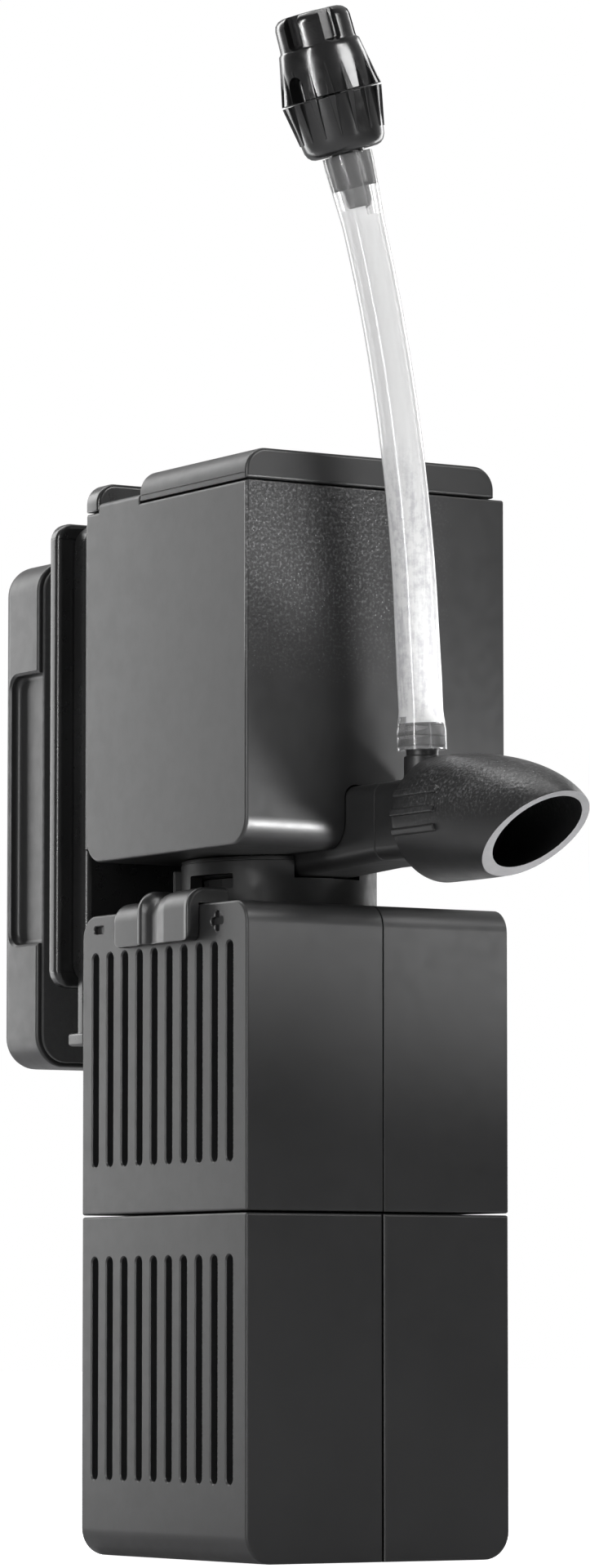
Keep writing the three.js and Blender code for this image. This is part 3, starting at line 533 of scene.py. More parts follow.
def camera():
    """Long lens a little above the floor, looking up at the filter's left front edge."""
    azimuth, tilt = math.radians(CAMERA_AZIMUTH), math.radians(CAMERA_TILT)
    level = math.cos(tilt)
    forward = Vector((-math.sin(azimuth) * level, math.cos(azimuth) * level, math.sin(tilt)))
    lens = bpy.data.cameras.new("camera")
    lens.sensor_width = 36
    lens.lens = CAMERA_LENS
    lens.clip_start = 0.05
    obj = bpy.data.objects.new("camera", lens)
    obj.location = (Vector(CAMERA_TARGET) - forward * CAMERA_DISTANCE) * MM
    obj.rotation_mode = "QUATERNION"
    obj.rotation_quaternion = forward.to_track_quat("-Z", "Y")
    bpy.context.scene.collection.objects.link(obj)
    bpy.context.scene.camera = obj


def hose_line(per_span=8):
    """Smooth line through the hose's route, in mm."""
    points = [Vector((x, NIPPLE_Y, z)) for x, z in HOSE_ROUTE]
    padded = [2 * points[0] - points[1], *points, 2 * points[-1] - points[-2]]
    line = []
    for a, b, c, d in zip(padded, padded[1:], padded[2:], padded[3:]):
        for k in range(per_span):
            t = k / per_span
            line.append(0.5 * (2 * b + (c - a) * t + (2 * a - 5 * b + 4 * c - d) * t ** 2
                               + (3 * b - a - 3 * c + d) * t ** 3))
    return line + [points[-1]]


def ring_round(centre, along, radius, segments=40):
    across = Vector((0, 1, 0))
    other = along.cross(across)
    angles = [2 * math.pi * k / segments for k in range(segments)]
    return [centre + radius * (math.cos(a) * across + math.sin(a) * other) for a in angles]


def hose_swell(z):
    """The hose is stretched over the barb at its foot and over the stem at its top."""
    foot = 0.6 * max(0.0, 1 - max(0.0, z - BARB_TOP + 2) / 4)
    head = 0.75 * min(1.0, max(0.0, (z - HOSE_ROUTE[-1][1] + STEM_LENGTH + 2) / STEM_LENGTH))
    waist = -0.12 * math.exp(-((z - 258) / 30) ** 2)
    return foot + head + waist + 0.2 * max(0.0, 1 - abs(z - 186) / 30)


def hose():
    line = hose_line()
    tangents = [(b - a).normalized() for a, b in zip(line, line[1:])]
    tangents.append(tangents[-1])
    outer = [ring_round(c, t, HOSE_RADIUS + hose_swell(c.z)) for c, t in zip(line, tangents)]
    inner = [ring_round(c, t, HOSE_BORE + 0.8 * hose_swell(c.z)) for c, t in zip(line, tangents)]
    obj = raw("clear_hose", loft(outer + inner[::-1], closed=True))
    softened(obj)
    piece(obj, "pump_head", (HOSE, HOSE_CLEAR), ["air_hose"])
    foot, head = BARB_TOP * MM, (HOSE_ROUTE[-1][1] - STEM_LENGTH) * MM
    for face in obj.data.polygons:
        if not foot < face.center.z < head:
            face.material_index = 1
    return obj, line


def on_valve_axis(bm):
    matrix = Matrix.Translation(VALVE_FOOT) @ Matrix.Rotation(math.radians(-VALVE_TILT), 4, "Y")
    return moved(bm, matrix)


def barrel_ribs(root_z, tip_z, root_radius, tip_radius, phase):
    """Wedges round the valve, broad and proud at the split line and running out to a point."""
    ribs = []
    for k in range(VALVE_RIBS):
        turn = Matrix.Rotation(2 * math.pi * (k + phase) / VALVE_RIBS, 4, "Z")
        rings = []
        for share in (0.0, 0.35, 0.7, 1.0):
            z = root_z + (tip_z - root_z) * share
            radius = root_radius + (tip_radius - root_radius) * share
            half, height = 0.55 * (1 - share) + 0.16, 0.25 + 0.85 * (1 - share)
            section = ((-half, -0.6), (-half, height - 0.15), (-half + 0.12, height), (half - 0.12, height),
                       (half, height - 0.15), (half, -0.6))
            rings.append([(radius + rise, across, z) for across, rise in section])
        ribs.append(moved(loft(rings), turn))
    return ribs


def valve_body():
    """Fixed lower half with its stem down inside the hose and the pin its cap turns on."""
    top = VALVE_SPLIT - GAP / 2
    profile = [(0.9, -STEM_LENGTH), (2.2, -STEM_LENGTH + 0.5), (2.8, -STEM_LENGTH + 1.6),
               (2.9, -STEM_LENGTH + 4.6), (3.6, -STEM_LENGTH + 4.9), (3.75, -STEM_LENGTH + 5.6), (3.8, -0.9),
               (3.8, 0.5), (5.6, 0.5), (6.3, 0.15), (6.9, 0.05), (7.6, 0.3), (8.3, 0.95), (8.75, 1.9),
               (8.95, 3.2), (9.3, 6.4), (9.65, 10), (VALVE_BELLY, top - 0.2), (VALVE_BELLY - 0.2, top),
               (VALVE_PIN, top), (VALVE_PIN, VALVE_SHOULDER)]
    obj = raw("valve_lower_half", on_valve_axis(turned(profile, 96)))
    ribs = barrel_ribs(top - 0.05, 3.6, VALVE_BELLY - 0.1, 8.95, 0.5)
    joined(obj, on_valve_axis(merged(ribs)))
    softened(obj, 0.14)
    return piece(obj, "pump_head", VALVE, ["air_valve_body"])


def valve_cap():
    """Turning upper half: ribbed barrel, arched air window and a fluted crown."""
    low = VALVE_SPLIT + GAP / 2
    profile = [(VALVE_PIN_BORE, low), (VALVE_BELLY - 0.2, low), (VALVE_BELLY, low + 0.2),
               (VALVE_BELLY - 0.15, low + 3), (9.4, low + 7), (VALVE_END, VALVE_SHOULDER - 1.2),
               (8.75, VALVE_SHOULDER - 0.35),
               (VALVE_CROWN, VALVE_SHOULDER), (8.3, VALVE_SHOULDER + 0.2), (8.2, VALVE_TOP - 2.2),
               (7.9, VALVE_TOP - 1.1), (7.1, VALVE_TOP - 0.3), (6.2, VALVE_TOP),
               (VALVE_PIN_BORE, VALVE_TOP - 0.2)]
    obj = raw("valve_turning_cap", on_valve_axis(turned(profile, 96)))
    ribs = barrel_ribs(low + 0.05, VALVE_SHOULDER - 2.2, VALVE_BELLY - 0.1, 8.8, 0.5)
    joined(obj, on_valve_axis(merged(ribs)))
    flutes = []
    for k in range(VALVE_LOBES):
        turn = Matrix.Rotation(2 * math.pi * (k + 0.35) / VALVE_LOBES, 4, "Z")
        bounds = (-1.75, 1.75, VALVE_SHOULDER + 0.25, VALVE_TOP + 3)
        flute = flared("x", ((5.9, 0.5), (6.3, 0.1), (7.6, 0), (8.6, -0.35), (10, -0.35)), bounds,
                       (0.8, 0.8, 0.1, 0.1))
        flutes.append(moved(flute, turn))
    bore = turned(((VALVE_PIN_BORE, low - 1), (VALVE_PIN_BORE, VALVE_SHOULDER + 0.5)), 48)
    window = slab("x", (-11, -6.2), (-2.1, 2.1, low - 3, low + 5.4), (0.1, 0.1, 2.05, 2.05), (0.1, 0.8))
    window = moved(window, Matrix.Rotation(math.radians(WINDOW_ANGLE), 4, "Z"))
    recess = turned(((VALVE_RECESS, VALVE_TOP - 2.5), (VALVE_RECESS, VALVE_TOP + 1)), 48)
    cut(obj, on_valve_axis(merged(flutes)), on_valve_axis(bore), on_valve_axis(window), on_valve_axis(recess))
    softened(obj, 0.14)
    return piece(obj, "valve_cap", VALVE, ["air_valve_cap"])


def air_line():
    obj, line = hose()
    valve_body()
    valve_cap()


# ---------------------------------------------------------------- media boxes


def slot_cutters(z0, z1):
    """Round-ended slots with a slightly flared mouth."""
    half = SLOT_WIDTH / 2
    stations = ((-BOX_X - 0.4, -0.65), (-BOX_X + 0.3, 0), (-BOX_X + WALL + 1, 0))
    cutters = []
    for k in range(SLOT_COUNT):
        y = SLOT_FIRST - k * SLOT_PITCH
        cutters.append(flared("x", stations, (y - half, y + half, z0, z1), (half - 0.01,) * 4))
    return merged(cutters)


def flow_marks():
    """Recessed minus, and a plus with rounded arms."""
    stations = ((-BOX_X - 0.3, -0.5), (-BOX_X + 0.2, 0), (-BOX_X + 0.9, 0.05))
    round_ends = (0.8,) * 4
    return [
        flared("x", stations, (25.2, 29.6, 134.9, 136.6), round_ends),
        flared("x", stations, (-25.0, -19.8, 134.15, 135.85), round_ends),
        flared("x", stations, (-23.35, -21.45, 132.8, 137.2), round_ends),
    ]


def half_span(side):
    """X range of a half shell and the rounding of its two ends; the seam end is nearly sharp."""
    if side < 0:
        return (-BOX_X, SPLIT - GAP / 2), (0.6, 0.12)
    return (SPLIT + GAP / 2, BOX_X), (0.12, 0.6)


def upper_half(side):
    span, edges = half_span(side)
    bounds = (-BOX_Y, BOX_Y, *UPPER_Z)
    radii = (0.5, 0.5, SHOULDER_RADIUS, SHOULDER_RADIUS)
    shell = raw("upper_box_left" if side < 0 else "upper_box_right", slab("x", span, bounds, radii, edges))
    inner_span = (span[0] + WALL, span[1] + 9) if side < 0 else (span[0] - 9, span[1] - WALL)
    hollow = flared("x", ((inner_span[0], WALL), (inner_span[1], WALL)), bounds, radii)
    cut(shell, hollow, rod(PORT_RADIUS, UPPER_Z[0] - 1, UPPER_Z[1] + 1))
    if side < 0:
        slider_slot = block(-29.2, -26.8, -12, 14, UPPER_Z[1] - 3, UPPER_Z[1] + 1)
        cut(shell, slot_cutters(*UPPER_SLOTS), slider_slot, *flow_marks())
    node = "upper_box_slotted_half" if side < 0 else "upper_box_plain_half"
    return piece(softened(shell), "upper_box", BLACK, [node])


def lower_half(side):
    span, _ = half_span(side)
    bounds = (*span, *LOWER_Z)
    radii = (FOOT_RADIUS, 0.1, 0.1, 0.5) if side < 0 else (0.1, FOOT_RADIUS, 0.5, 0.1)
    shell = raw("lower_box_left" if side < 0 else "lower_box_right",
                slab("y", (-BOX_Y, BOX_Y), bounds, radii, (0.7, 0.7), 10))
    inner = (span[0] + WALL, span[1] + 9) if side < 0 else (span[0] - 9, span[1] - WALL)
    corner = FOOT_RADIUS - WALL
    inner_radii = (corner, 0.1, 0.1, 0.3) if side < 0 else (0.1, corner, 0.3, 0.1)
    hollow = flared("y", ((-BOX_Y + WALL, 0), (BOX_Y - WALL, 0)),
                    (*inner, LOWER_Z[0] + WALL, LOWER_Z[1] - WALL), inner_radii)
    cut(shell, hollow, rod(PORT_RADIUS, LOWER_Z[1] - 3, LOWER_Z[1] + 1))
    if side < 0:
        cut(shell, slot_cutters(*LOWER_SLOTS))
    node = "lower_box_slotted_half" if side < 0 else "lower_box_plain_half"
    return piece(softened(shell), "lower_box", BLACK, [node])


def sponge(name, body, z_range, foot, node):
    """Foam block whose skin is pitted by its open cells."""
    bounds = (-FOAM_X, FOAM_X, *z_range)
    bm = slab("y", (-FOAM_Y, FOAM_Y), bounds, (foot, foot, 0.5, 0.5), (0.5, 0.5), 3, 1)
    obj = cut(raw(name, bm), rod(FOAM_HOLE, z_range[0] - 1, z_range[1] + 1))
    remesh = obj.modifiers.new("cells", "REMESH")
    remesh.mode = "VOXEL"
    remesh.voxel_size = FOAM_X / FOAM_CELLS * MM
    with_modifiers_applied(obj)
    for vertex in obj.data.vertices:
        pit = FOAM_PIT * (noise.noise(vertex.co * 420) - 1)
        vertex.co += vertex.normal * pit * MM
    softened(obj)
    piece(obj, body, FOAM, [node])


def slider_thickness(y):
    """Thin plate at the rear, a raised lip, a hollow for the finger and a flat face towards the front."""
    stops = ((18, 1.6), (SLIDER_STEP, 1.6), (SLIDER_STEP - 0.25, 2.8), (5.0, 3.0), (4.1, 2.95), (3.0, 2.1),
             (1.8, 1.6), (0.4, 1.75), (-2, 2.3), (-5, 2.55), (-13.6, 2.6), (-14.8, 2.75), (-15.4, 2.55))
    for (y1, t1), (y0, t0) in zip(stops, stops[1:]):
        if y >= y0:
            return t0 + (t1 - t0) * (y - y0) / (y1 - y0)
    return stops[-1][1]


def slider_section(y, inner, roof):
    """Bent section at one place along the slider, drawn in at its two ends."""
    from_end = min(y - SLIDER_FRONT, SLIDER_REAR - y)
    thick = slider_thickness(y)
    top = roof + (1.7 if y > SLIDER_STEP - 0.1 else 0.6 + thick)
    edge = min(max(0.0, SLIDER_CORNER - from_end), SLIDER_CORNER)
    low = SLIDER_BOTTOM + SLIDER_CORNER - math.sqrt(SLIDER_CORNER ** 2 - edge ** 2)
    soft = 0.55
    pull = soft - math.sqrt(max(0.0, soft ** 2 - max(0.0, soft - from_end) ** 2))
    outer, lid = inner - thick + pull, top - pull
    quarter = [math.pi / 2 * k / 12 for k in range(13)]
    arc = [(outer + SLIDER_BEND * (1 - math.cos(a)), lid - SLIDER_BEND * (1 - math.sin(a))) for a in quarter]
    section = [(inner, low), (outer + 0.4, low), (outer + 0.1, low + 0.12), (outer, low + 0.5), *arc,
               (SLIDER_REACH - 0.3, lid), (SLIDER_REACH, lid - 0.4), (SLIDER_REACH, roof), (inner, roof)]
    return [(x, y, z) for x, z in section]


def flow_slider():
    """Slider bent over the box's edge, with a key down in the box's slot."""
    inner, roof, length = -BOX_X - GAP, UPPER_Z[1] + GAP, SLIDER_REAR - SLIDER_FRONT
    stations = [SLIDER_FRONT + length * k / 96 for k in range(97)] + [SLIDER_STEP, SLIDER_STEP - 0.25]
    obj = raw("flow_control_slider", loft([slider_section(y, inner, roof) for y in sorted(stations)]))
    joined(obj, block(-28.6, -27.4, -6, 8, 134.5, roof + 0.6))
    softened(obj, 0.0, math.radians(50))
    piece(obj, "slider", SLIDER, ["flow_slider"])


def media_boxes():
    for side in (-1, 1):
        lower_half(side)
        upper_half(side)
    sponge("lower_foam", "lower_box", FOAM_LOWER, FOOT_RADIUS - WALL, "lower_sponge")
    sponge("upper_foam", "upper_box", FOAM_UPPER, 0.5, "upper_sponge")
    flow_slider()


# ---------------------------------------------------------------- pump head


def pump_case():
    bounds = (-PUMP_Y, PUMP_Y, *PUMP_Z)
    radii = (PUMP_RADIUS, PUMP_RADIUS, 0.4, 0.4)
    obj = raw("pump_case", slab("x", (-PUMP_X, PUMP_X), bounds, radii, (0.75, 0.75), 12))
    deck_bounds = (-PUMP_X, PUMP_X, PUMP_Z[1] - 1.5, DECK_TOP)
    joined(obj, slab("y", DECK_Y, deck_bounds, (0.1, 0.1, 1.2, 1.2), (0.3, 0.3)))
    hollow = flared("x", ((-PUMP_X + CASE_WALL, CASE_WALL), (PUMP_X - CASE_WALL, CASE_WALL)), bounds, radii)
    opening = slab("z", (PUMP_Z[1] - 4, PUMP_Z[1] + 1), (-28.4, 28.4, -30.4, 7.6), (2,) * 4, (0.05, 0.05))
    notch = flared("y", ((-PUMP_Y - 1, 0), (AXIS_Y, 0)),
                   (-DUCT_X - GAP, DUCT_X + GAP, PUMP_Z[0] - 2, DUCT_TOP + GAP),
                   (0.1, 0.1, DUCT_CORNER, DUCT_CORNER))
    cut(obj, hollow, opening, rod(VOLUTE_RADIUS + GAP, PUMP_Z[0] - 1, PUMP_Z[0] + 4), notch)
    softened(obj)
    piece(obj, "pump_head", CASE, ["pump_housing"])


def pump_lid():
    """Lid with rounded shoulders, a thin foot flange and a skirt inside the case."""
    bounds = (*LID_X, *LID_Z)
    obj = raw("pump_lid_cap", slab("y", LID_Y, bounds, (0.3, 0.3, 5, 5), (0.8, 0.5), 12))
    hollow_bounds = (LID_X[0] + LID_WALL, LID_X[1] - LID_WALL, LID_Z[0] - 1, LID_Z[1] - LID_WALL)
    hollow_ends = ((LID_Y[0] + LID_WALL, 0), (LID_Y[1] - LID_WALL, 0))
    hollow = flared("y", hollow_ends, hollow_bounds, (0.1, 0.1, 3, 3))
    rebate = block(LID_X[0] - 1, LID_X[0] + 0.22, LID_Y[0] + 0.9, LID_Y[1] + 1,
                   LID_Z[0] + 0.95, LID_Z[0] + 1.3)
    cut(obj, hollow, rebate)
    skirt = flared("z", ((225.2, 0), (LID_Z[1] - 1.6, 0)), (-28, 28, -30, 7.2), (1.8,) * 4)
    well = flared("z", ((224, 0), (LID_Z[1] - 2.2, 0)), (-26.4, 26.4, -28.4, 5.6), (1,) * 4)
    cut(joined(obj, skirt), well)
    softened(obj)
    piece(obj, "lid", BLACK, ["pump_lid"])


def cable_cover():
    bounds = (-PUMP_X, PUMP_X, *COVER_Z)
    obj = raw("rear_cable_cover", slab("y", COVER_Y, bounds, (0.3, 0.3, 4.5, 4.5), (0.9, 0.6), 12))
    cut(obj, block(-27, 27, COVER_Y[0] + 1.4, COVER_Y[1] - 1.4, COVER_Z[0] - 1, COVER_Z[1] - 1.6))
    softened(obj)
    piece(obj, "pump_head", GLOSS, ["cable_cover"])


def cable_gland():
    """Rubber inlet with a blind socket and two flex grooves."""
    start, end = GLAND_Y
    profile = [(0.4, start), (3.0, start), (3.0, start + 1.2), (2.4, start + 1.5), (2.4, start + 2.1),
               (2.15, start + 2.3), (2.15, start + 2.6), (2.4, start + 2.8), (2.4, end - 0.3), (2.1, end),
               (1.6, end), (1.6, start + 0.8), (0.4, start + 0.8)]
    turn = Matrix.Translation((GLAND_X, 0, GLAND_Z)) @ Matrix.Rotation(math.radians(-90), 4, "X")
    obj = raw("cable_inlet_gland", moved(turned(profile, 40, closed=True), turn))
    softened(obj)
    piece(obj, "pump_head", RUBBER, ["cable_gland"])


def neck_collar():
    """Bayonet neck: ring with a web, a lug each side and a window that shows the catch."""
    low, high = COLLAR_Z
    web, plug = low + COLLAR_WEB, PORT_RADIUS - GAP
    profile = [(COLLAR_MOUTH, COLLAR_FOOT), (plug, COLLAR_FOOT), (plug, low), (COLLAR_RADIUS - 0.3, low),
               (COLLAR_RADIUS, low + 0.3), (COLLAR_RADIUS, high - 0.9), (COLLAR_RADIUS - 0.2, high - 0.75),
               (COLLAR_RADIUS - 0.2, high - 0.55), (COLLAR_RADIUS, high - 0.4), (COLLAR_RADIUS - 0.1, high),
               (COLLAR_BORE, high), (COLLAR_BORE, web), (COLLAR_MOUTH, web)]
    centre = Matrix.Translation((0, AXIS_Y, 0))
    obj = raw("bayonet_collar", moved(turned(profile, 128, closed=True), centre))
    for degrees in LUG_ANGLES:
        lug_bounds = (COLLAR_RADIUS - 1.5, COLLAR_RADIUS + 1.7, -2, 2)
        lug = slab("z", LUG_Z, lug_bounds, (0.5,) * 4, (0.4, 0.4))
        joined(obj, moved(lug, centre @ Matrix.Rotation(math.radians(degrees), 4, "Z")))
    notch = block(-DUCT_X - GAP, DUCT_X + GAP, -20, -8, DUCT_NECK_BOTTOM - GAP, high + 1)
    windows = [slab("x", span, (*across, *WINDOW_Z), (0.4,) * 4, (0.05, 0.05))
               for span, across in (((-23, -15), (-4.9, 8.1)), ((15, 23), (3.9, 16.9)))]
    cut(obj, notch, *windows)
    softened(obj, 0.12)
    # the collar's darker plastic is painted shade cast by the pump case above it
    piece(obj, "pump_head", MATT_SHADE_PLASTIC, ["neck_collar"])


def duct_ring(y, low, inset=0.0):
    return [(x, y, z) for x, z in rounded(-DUCT_X, DUCT_X, low, DUCT_TOP, (DUCT_CORNER,) * 4, inset, 8)]


def duct_piece(ends):
    """Duct with a softened front; ends are (y, bottom) from front to back."""
    (y0, low0), (y1, low1) = ends
    return loft([duct_ring(y0, low0, 0.35), duct_ring(y0 + 0.12, low0, 0.1), duct_ring(y0 + 0.4, low0),
                 duct_ring(y1, low1)])


def volute():
    """Impeller chamber and the duct that leads forward under the case."""
    centre = Matrix.Translation((0, AXIS_Y, 0))
    low, high = VOLUTE_Z
    can = turned(((VOLUTE_RADIUS - 0.4, low), (VOLUTE_RADIUS, low + 0.4), (VOLUTE_RADIUS, high)), 96)
    obj = raw("volute_and_duct", moved(can, centre))
    root = loft([duct_ring(-14, low), duct_ring(0, low)])
    joined(obj, duct_piece(((DUCT_JOINT, DUCT_BOTTOM), (-12.3, DUCT_NECK_BOTTOM))), root)
    cut(obj, rod(CHAMBER_RADIUS, low - 1, CHAMBER_ROOF), rod(10.2, CHAMBER_ROOF - 1, high + 1),
        rod_y(DUCT_BORE, DUCT_JOINT - 1, AXIS_Y - 8))
    softened(obj, 0.12)
    piece(obj, "pump_head", BLACK, ["volute_duct"])


def outlet_adapter():
    """Front duct piece: spigot for the nozzle, and the barbed nipple that the hose is pushed on."""
    obj = raw("outlet_adapter_with_nipple",
              duct_piece(((SPIGOT_START, DUCT_BOTTOM), (DUCT_JOINT - GAP, DUCT_BOTTOM))))
    spigot = rod_y(SPIGOT_RADIUS, SPIGOT_END, SPIGOT_START + 1)
    lip = rod_y(9.55, SPIGOT_END, SPIGOT_END + 1.4)
    steps = [(3.9, DUCT_TOP - 1), (3.9, NIPPLE_TOP - 1.2), (3.4, NIPPLE_TOP - 0.9), (3.4, NIPPLE_TOP),
             (3.6, 171.2), (3.8, 171.5), (3.6, 173.3), (3.8, 173.6), (3.55, 175.2), (3.7, 175.5),
             (2.7, BARB_TOP)]
    nipple = moved(turned(steps, 48), Matrix.Translation((0, NIPPLE_Y, 0)))
    joined(obj, spigot, lip, nipple)
    air_way = rod(NIPPLE_BORE, OUTLET_Z, BARB_TOP + 1, 24, 0, NIPPLE_Y)
    cut(obj, rod_y(DUCT_BORE, SPIGOT_END - 1, DUCT_JOINT + 1), air_way)
    softened(obj, 0.12)
    piece(obj, "pump_head", BLACK, ["outlet_adapter"])


def bullet(radius, length, first, last, rings, segments):
    """Blunt bullet along -Y that droops towards its tip; first and last are shares of its length."""
    sections = []
    for i in range(rings + 1):
        s = first + (last - first) * math.sin(math.pi / 2 * i / rings)
        r = radius * math.sqrt(max(1 - s ** NOZZLE_POWER, 0))
        y, z = NOZZLE_REAR - s * length, OUTLET_Z - NOZZLE_DROOP * s * s
        angles = [2 * math.pi * k / segments for k in range(segments)]
        sections.append([(r * math.cos(a), y, z + r * math.sin(a)) for a in angles])
    return sections


def nozzle():
    """Swivelling outlet: bullet with its tip cut off on the slant, a pale rim and grip ribs on both sides."""
    outside = bullet(NOZZLE_RADIUS, NOZZLE_LENGTH, 0.0, 0.99, 44, 128)
    rear = [[(x * k, NOZZLE_REAR + dy, OUTLET_Z + (z - OUTLET_Z) * k) for x, _, z in outside[0]]
            for k, dy in ((0.955, 0.0), (0.985, -0.12))]
    outside[0] = [(x, y - 0.55, z) for x, y, z in outside[0]]
    obj = raw("swivel_nozzle", loft(rear + [s for s in outside if s[0][1] <= NOZZLE_REAR - 0.5]))
    ribs = []
    for side in (0, 180):
        for angle in RIB_ANGLES:
            rib = slab("y", (NOZZLE_REAR - RIB_LENGTH, NOZZLE_REAR - 0.2), (12.2, 13.75, -0.85, 0.85),
                       (0.1, 0.5, 0.5, 0.1), (0.4, 0.2), 4, 2)
            turn = Matrix.Rotation(math.radians(side + 180 + (-angle if side else angle)), 4, "Y")
            ribs.append(moved(rib, Matrix.Translation((0, 0, OUTLET_Z)) @ turn))
    joined(obj, *ribs)
    share = NOZZLE_SHOULDER / NOZZLE_LENGTH
    inside = loft(bullet(NOZZLE_RADIUS - NOZZLE_WALL, NOZZLE_LENGTH - 2, share, 0.99, 32, 96))
    bore = rod_y(SPIGOT_RADIUS + 0.08, NOZZLE_REAR - NOZZLE_SHOULDER - 1, NOZZLE_REAR + 1)
    away = block(-60, 60, -60, 60, 0, 120)
    turn = MOUTH_NORMAL.to_track_quat("Z", "Y").to_matrix().to_4x4()
    mouth = Vector((0, NOZZLE_REAR - NOZZLE_CUT, OUTLET_Z))
    away = moved(away, Matrix.Translation(mouth) @ turn)
    cut(obj, inside, bore, away)
    softened(obj, 0.16)
    piece(obj, "nozzle", (NOZZLE, RIM), ["outlet_nozzle"])
    for face in obj.data.polygons:
        if face.normal.dot(MOUTH_NORMAL) > 0.9 and face.center.y < -0.07:
            height = (face.center - mouth * MM).dot(MOUTH_NORMAL)
            if abs(height) < 0.3 * MM:
                face.material_index = 1


# ---------------------------------------------------------------- pane holder


def holder_rail():
    bounds = (*RAIL_Y, *RAIL_Z)
    obj = raw("holder_guide_rail", slab("x", (-RAIL_X, RAIL_X), bounds, (0.3, 0.3, 3.4, 0.3), (0.6, 0.6), 8))
    groove = loft([[(-12, 35.8, z), (12, 35.8, z), (10, 38.3, z), (-10, 38.3, z)] for z in (150, 232)])
    cut(obj, groove)
    softened(obj, 0.12)
    piece(obj, "pump_head", GLOSS, ["holder_rail"])


def magnet_pockets(y0, y1):
    near, far = MAGNET_X
    return [block(x0, x1, y0, y1, *MAGNET_Z) for x0, x1 in ((near, far), (-far, -near))]


def holder_carriage():
    """Sliding plate with a dovetail tongue, magnet pockets and two stepped feet."""
    bounds = (-CARRIAGE_X, CARRIAGE_X, *CARRIAGE_Z)
    obj = raw("holder_slide", slab("y", CARRIAGE_Y, bounds, (5,) * 4, (1.6, 0.5), 8))
    joined(obj, loft([[(-11.2, 36.1, z), (11.2, 36.1, z), (9.2, 39, z), (-9.2, 39, z)] for z in (160, 220)]))
    low = CARRIAGE_Z[0]
    for side in (-1, 1):
        x = side * (CARRIAGE_X - 3)
        joined(obj, slab("y", (39.5, 42), (x - 3, x + 3, low - 11, low + 6), (0.5,) * 4, (0.4, 0.4)),
               slab("y", (39.5, 46.5), (x - 3, x + 3, low - 13.4, low - 10.4), (0.8,) * 4, (0.4, 0.8)))
    cut(obj, *magnet_pockets(MAGNET_FRONT, CARRIAGE_Y[1] + 1))
    softened(obj, 0.1)
    piece(obj, "carriage", GLOSS, ["holder_carriage"])


def inner_plate():
    """Smooth plate on the tank side of the pane, with a cap line near each end."""
    bounds = (-PLATE_X, PLATE_X, *PLATE_Z)
    obj = raw("pane_plate", slab("y", PLATE_Y, bounds, (4,) * 4, (1.3, 0.9), 8, 5))
    lines, depth = [], 0.16
    for z in (PLATE_Z[1] - 3.6, PLATE_Z[0] + 3.4):
        outer = slab("z", (z - 0.14, z + 0.14), (-40, 40, 40, 52), (1,) * 4, (0.02, 0.02))
        core_bounds = (-PLATE_X + depth, PLATE_X - depth, PLATE_Y[0] + depth, PLATE_Y[1] + 3)
        core = slab("z", (z - 1, z + 1), core_bounds, (1.1, 1.1, 0.1, 0.1), (0.02, 0.02))
        lines.append(less(outer, core))
    cut(obj, *lines)
    softened(obj)
    piece(obj, "carriage", GLOSS, ["inner_plate"])


def outer_block():
    """Handle block outside the pane: rounded back and a finger recess in each side."""
    bounds = (-BLOCK_X, BLOCK_X, *BLOCK_Z)
    obj = raw("pane_handle", slab("y", BLOCK_Y, bounds, (7,) * 4, (0.7, 4.5), 12, 8))
    for side in (-1, 1):
        floor = side * (BLOCK_X - 2.6)
        stations = [(side * (BLOCK_X + 1), -1.6), (side * BLOCK_X, -0.55), (side * (BLOCK_X - 0.55), 0)]
        stations += [(floor + side * 1.2 * (1 - math.sin(a)), 1.2 * (1 - math.cos(a)))
                     for a in (0.0, 0.4, 0.8, 1.2, math.pi / 2)]
        cut(obj, flared("x", stations, (46, 67.8, 134.5, 195), (0.1, 3.4, 3.4, 0.1), 8))
    hollow = slab("y", (BLOCK_Y[0] - 1, BLOCK_Y[1] - 3), (-28, 28, BLOCK_Z[0] + 4, 136), (2,) * 4, (0.1, 1))
    cut(obj, hollow, *magnet_pockets(BLOCK_Y[0] - 1, MAGNET_BACK))
    softened(obj, 0.1)
    piece(obj, "outer_magnet_block", BLACK, ["outer_block"])


def outer_pad():
    """Thin soft pad on the handle block's face, a millimetre in from its edges."""
    bounds = (-BLOCK_X + 1, BLOCK_X - 1, BLOCK_Z[0] + 1, BLOCK_Z[1] - 1)
    obj = raw("pane_pad", slab("y", PAD_Y, bounds, (6,) * 4, (0.25, 0.1), 8, 3))
    softened(obj)
    piece(obj, "outer_magnet_block", RUBBER, ["outer_pad"])


# ---------------------------------------------------------------- inner works, which keep their CAD solids

INNER_WORKS = {
    "lower_riser": MATT_SHADE_PLASTIC, "upper_riser": MATT_SHADE_PLASTIC, "coupling_ring": MATT_SHADE_PLASTIC, "impeller_cover": MATT_SHADE_PLASTIC,
    "neck_seal": RUBBER, "volute_seal": RUBBER, "lower_bush": RUBBER, "upper_bush": RUBBER,
    "impeller": IMPELLER, "impeller_shaft": CERAMIC, "motor_block": RESIN, "rotor_magnet": MAGNET,
    "inner_magnet_right": MAGNET, "inner_magnet_left": MAGNET,
    "outer_magnet_right": MAGNET, "outer_magnet_left": MAGNET,
}


def inner_works():
    for node, material in INNER_WORKS.items():
        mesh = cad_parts[node].data
        mesh.materials.clear()
        mesh.materials.append(material)
        mesh.shade_smooth()
        mesh.set_sharp_from_angle(angle=SHARP)


# ---------------------------------------------------------------- studio


def stage_floor():
    mesh = bpy.data.meshes.new("studio_floor")
    bm = bmesh.new()
    bmesh.ops.create_grid(bm, x_segments=8, y_segments=8, size=6)
    bm.to_mesh(mesh)
    bm.free()
    obj = bpy.data.objects.new("studio_floor", mesh)
    obj.location.z = -0.1 * MM
    mesh.materials.append(floor_material())
    bpy.context.scene.collection.objects.link(obj)


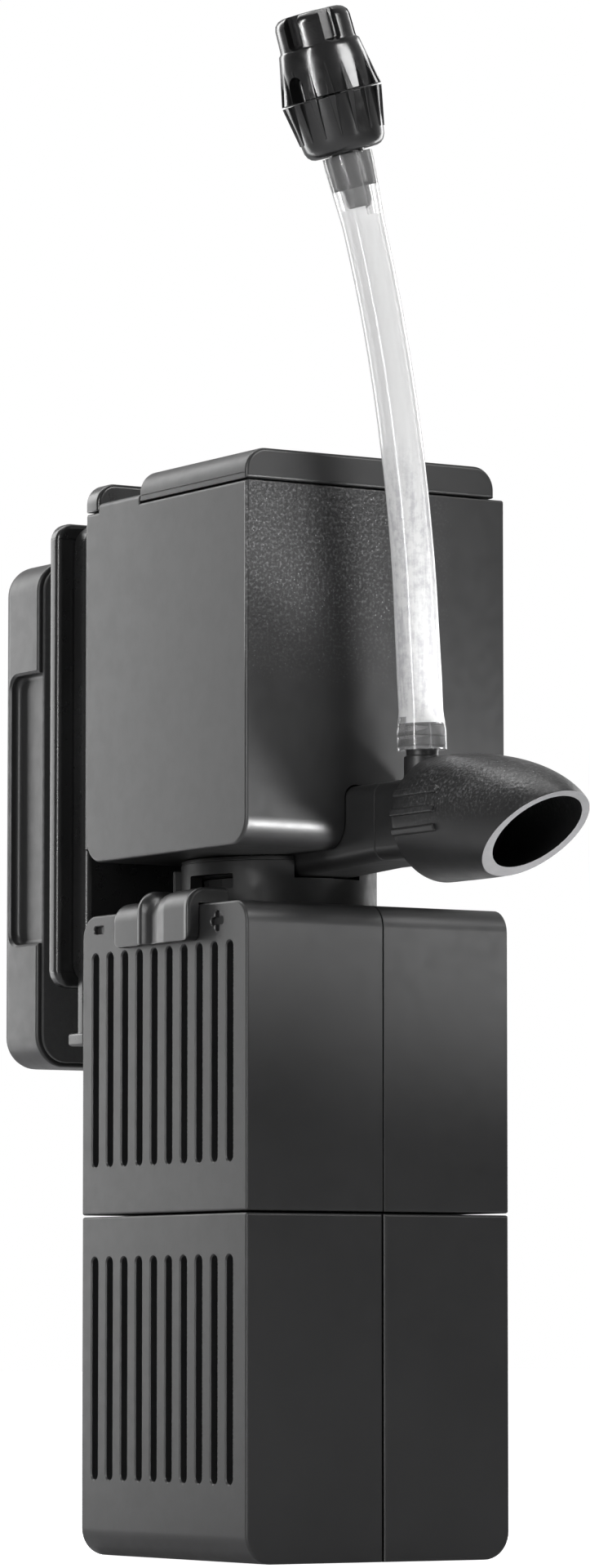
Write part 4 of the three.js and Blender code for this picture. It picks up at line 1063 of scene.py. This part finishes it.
def area_light(name, place, target, size, power, spread):
    light = bpy.data.lights.new(name, "AREA")
    light.shape = "RECTANGLE"
    light.size, light.size_y = size
    light.energy = power
    light.spread = math.radians(spread)
    obj = bpy.data.objects.new(name, light)
    obj.location = place
    obj.rotation_mode = "QUATERNION"
    obj.rotation_quaternion = (Vector(target) - Vector(place)).to_track_quat("-Z", "Y")
    bpy.context.scene.collection.objects.link(obj)


def studio_world():
    """White sweep behind the object, dim in front: black plastic gets bright flanks and dark fronts."""
    world = bpy.data.worlds.new("studio")
    world.use_nodes = True
    nodes, links = world.node_tree.nodes, world.node_tree.links

    def add(kind, inputs, **settings):
        node = nodes.new(kind)
        for key, value in settings.items():
            setattr(node, key, value)
        for socket, value in inputs.items():
            if isinstance(value, bpy.types.NodeSocket):
                links.new(value, node.inputs[socket])
            else:
                node.inputs[socket].default_value = value
        return node

    direction = nodes.new("ShaderNodeTexCoord").outputs["Generated"]
    behind = add("ShaderNodeVectorMath", {0: direction, 1: SWEEP_DIRECTION}, operation="DOT_PRODUCT")
    sweep = add("ShaderNodeMapRange", {"Value": behind.outputs["Value"], "From Min": 0.1, "From Max": 0.6,
                                       "To Min": WORLD_FRONT, "To Max": WORLD_SWEEP})
    rays = nodes.new("ShaderNodeLightPath").outputs
    through = add("ShaderNodeMath", {0: rays["Is Camera Ray"], 1: rays["Is Transmission Ray"]},
                  operation="MAXIMUM")
    strength = add("ShaderNodeMix", {0: through.outputs[0], 2: sweep.outputs["Result"], 3: 1.0})
    background = nodes["Background"]
    background.inputs["Color"].default_value = (1, 1, 1, 1)
    links.new(strength.outputs[0], background.inputs["Strength"])
    bpy.context.scene.world = world


def studio():
    stage_floor()
    studio_world()
    for light in LIGHTS:
        area_light(*light)
    bpy.context.scene.view_settings.view_transform = "Standard"


camera()
air_line()
media_boxes()
pump_case()
pump_lid()
cable_cover()
cable_gland()
neck_collar()
volute()
outlet_adapter()
nozzle()
holder_rail()
holder_carriage()
inner_plate()
outer_block()
outer_pad()
inner_works()
studio()
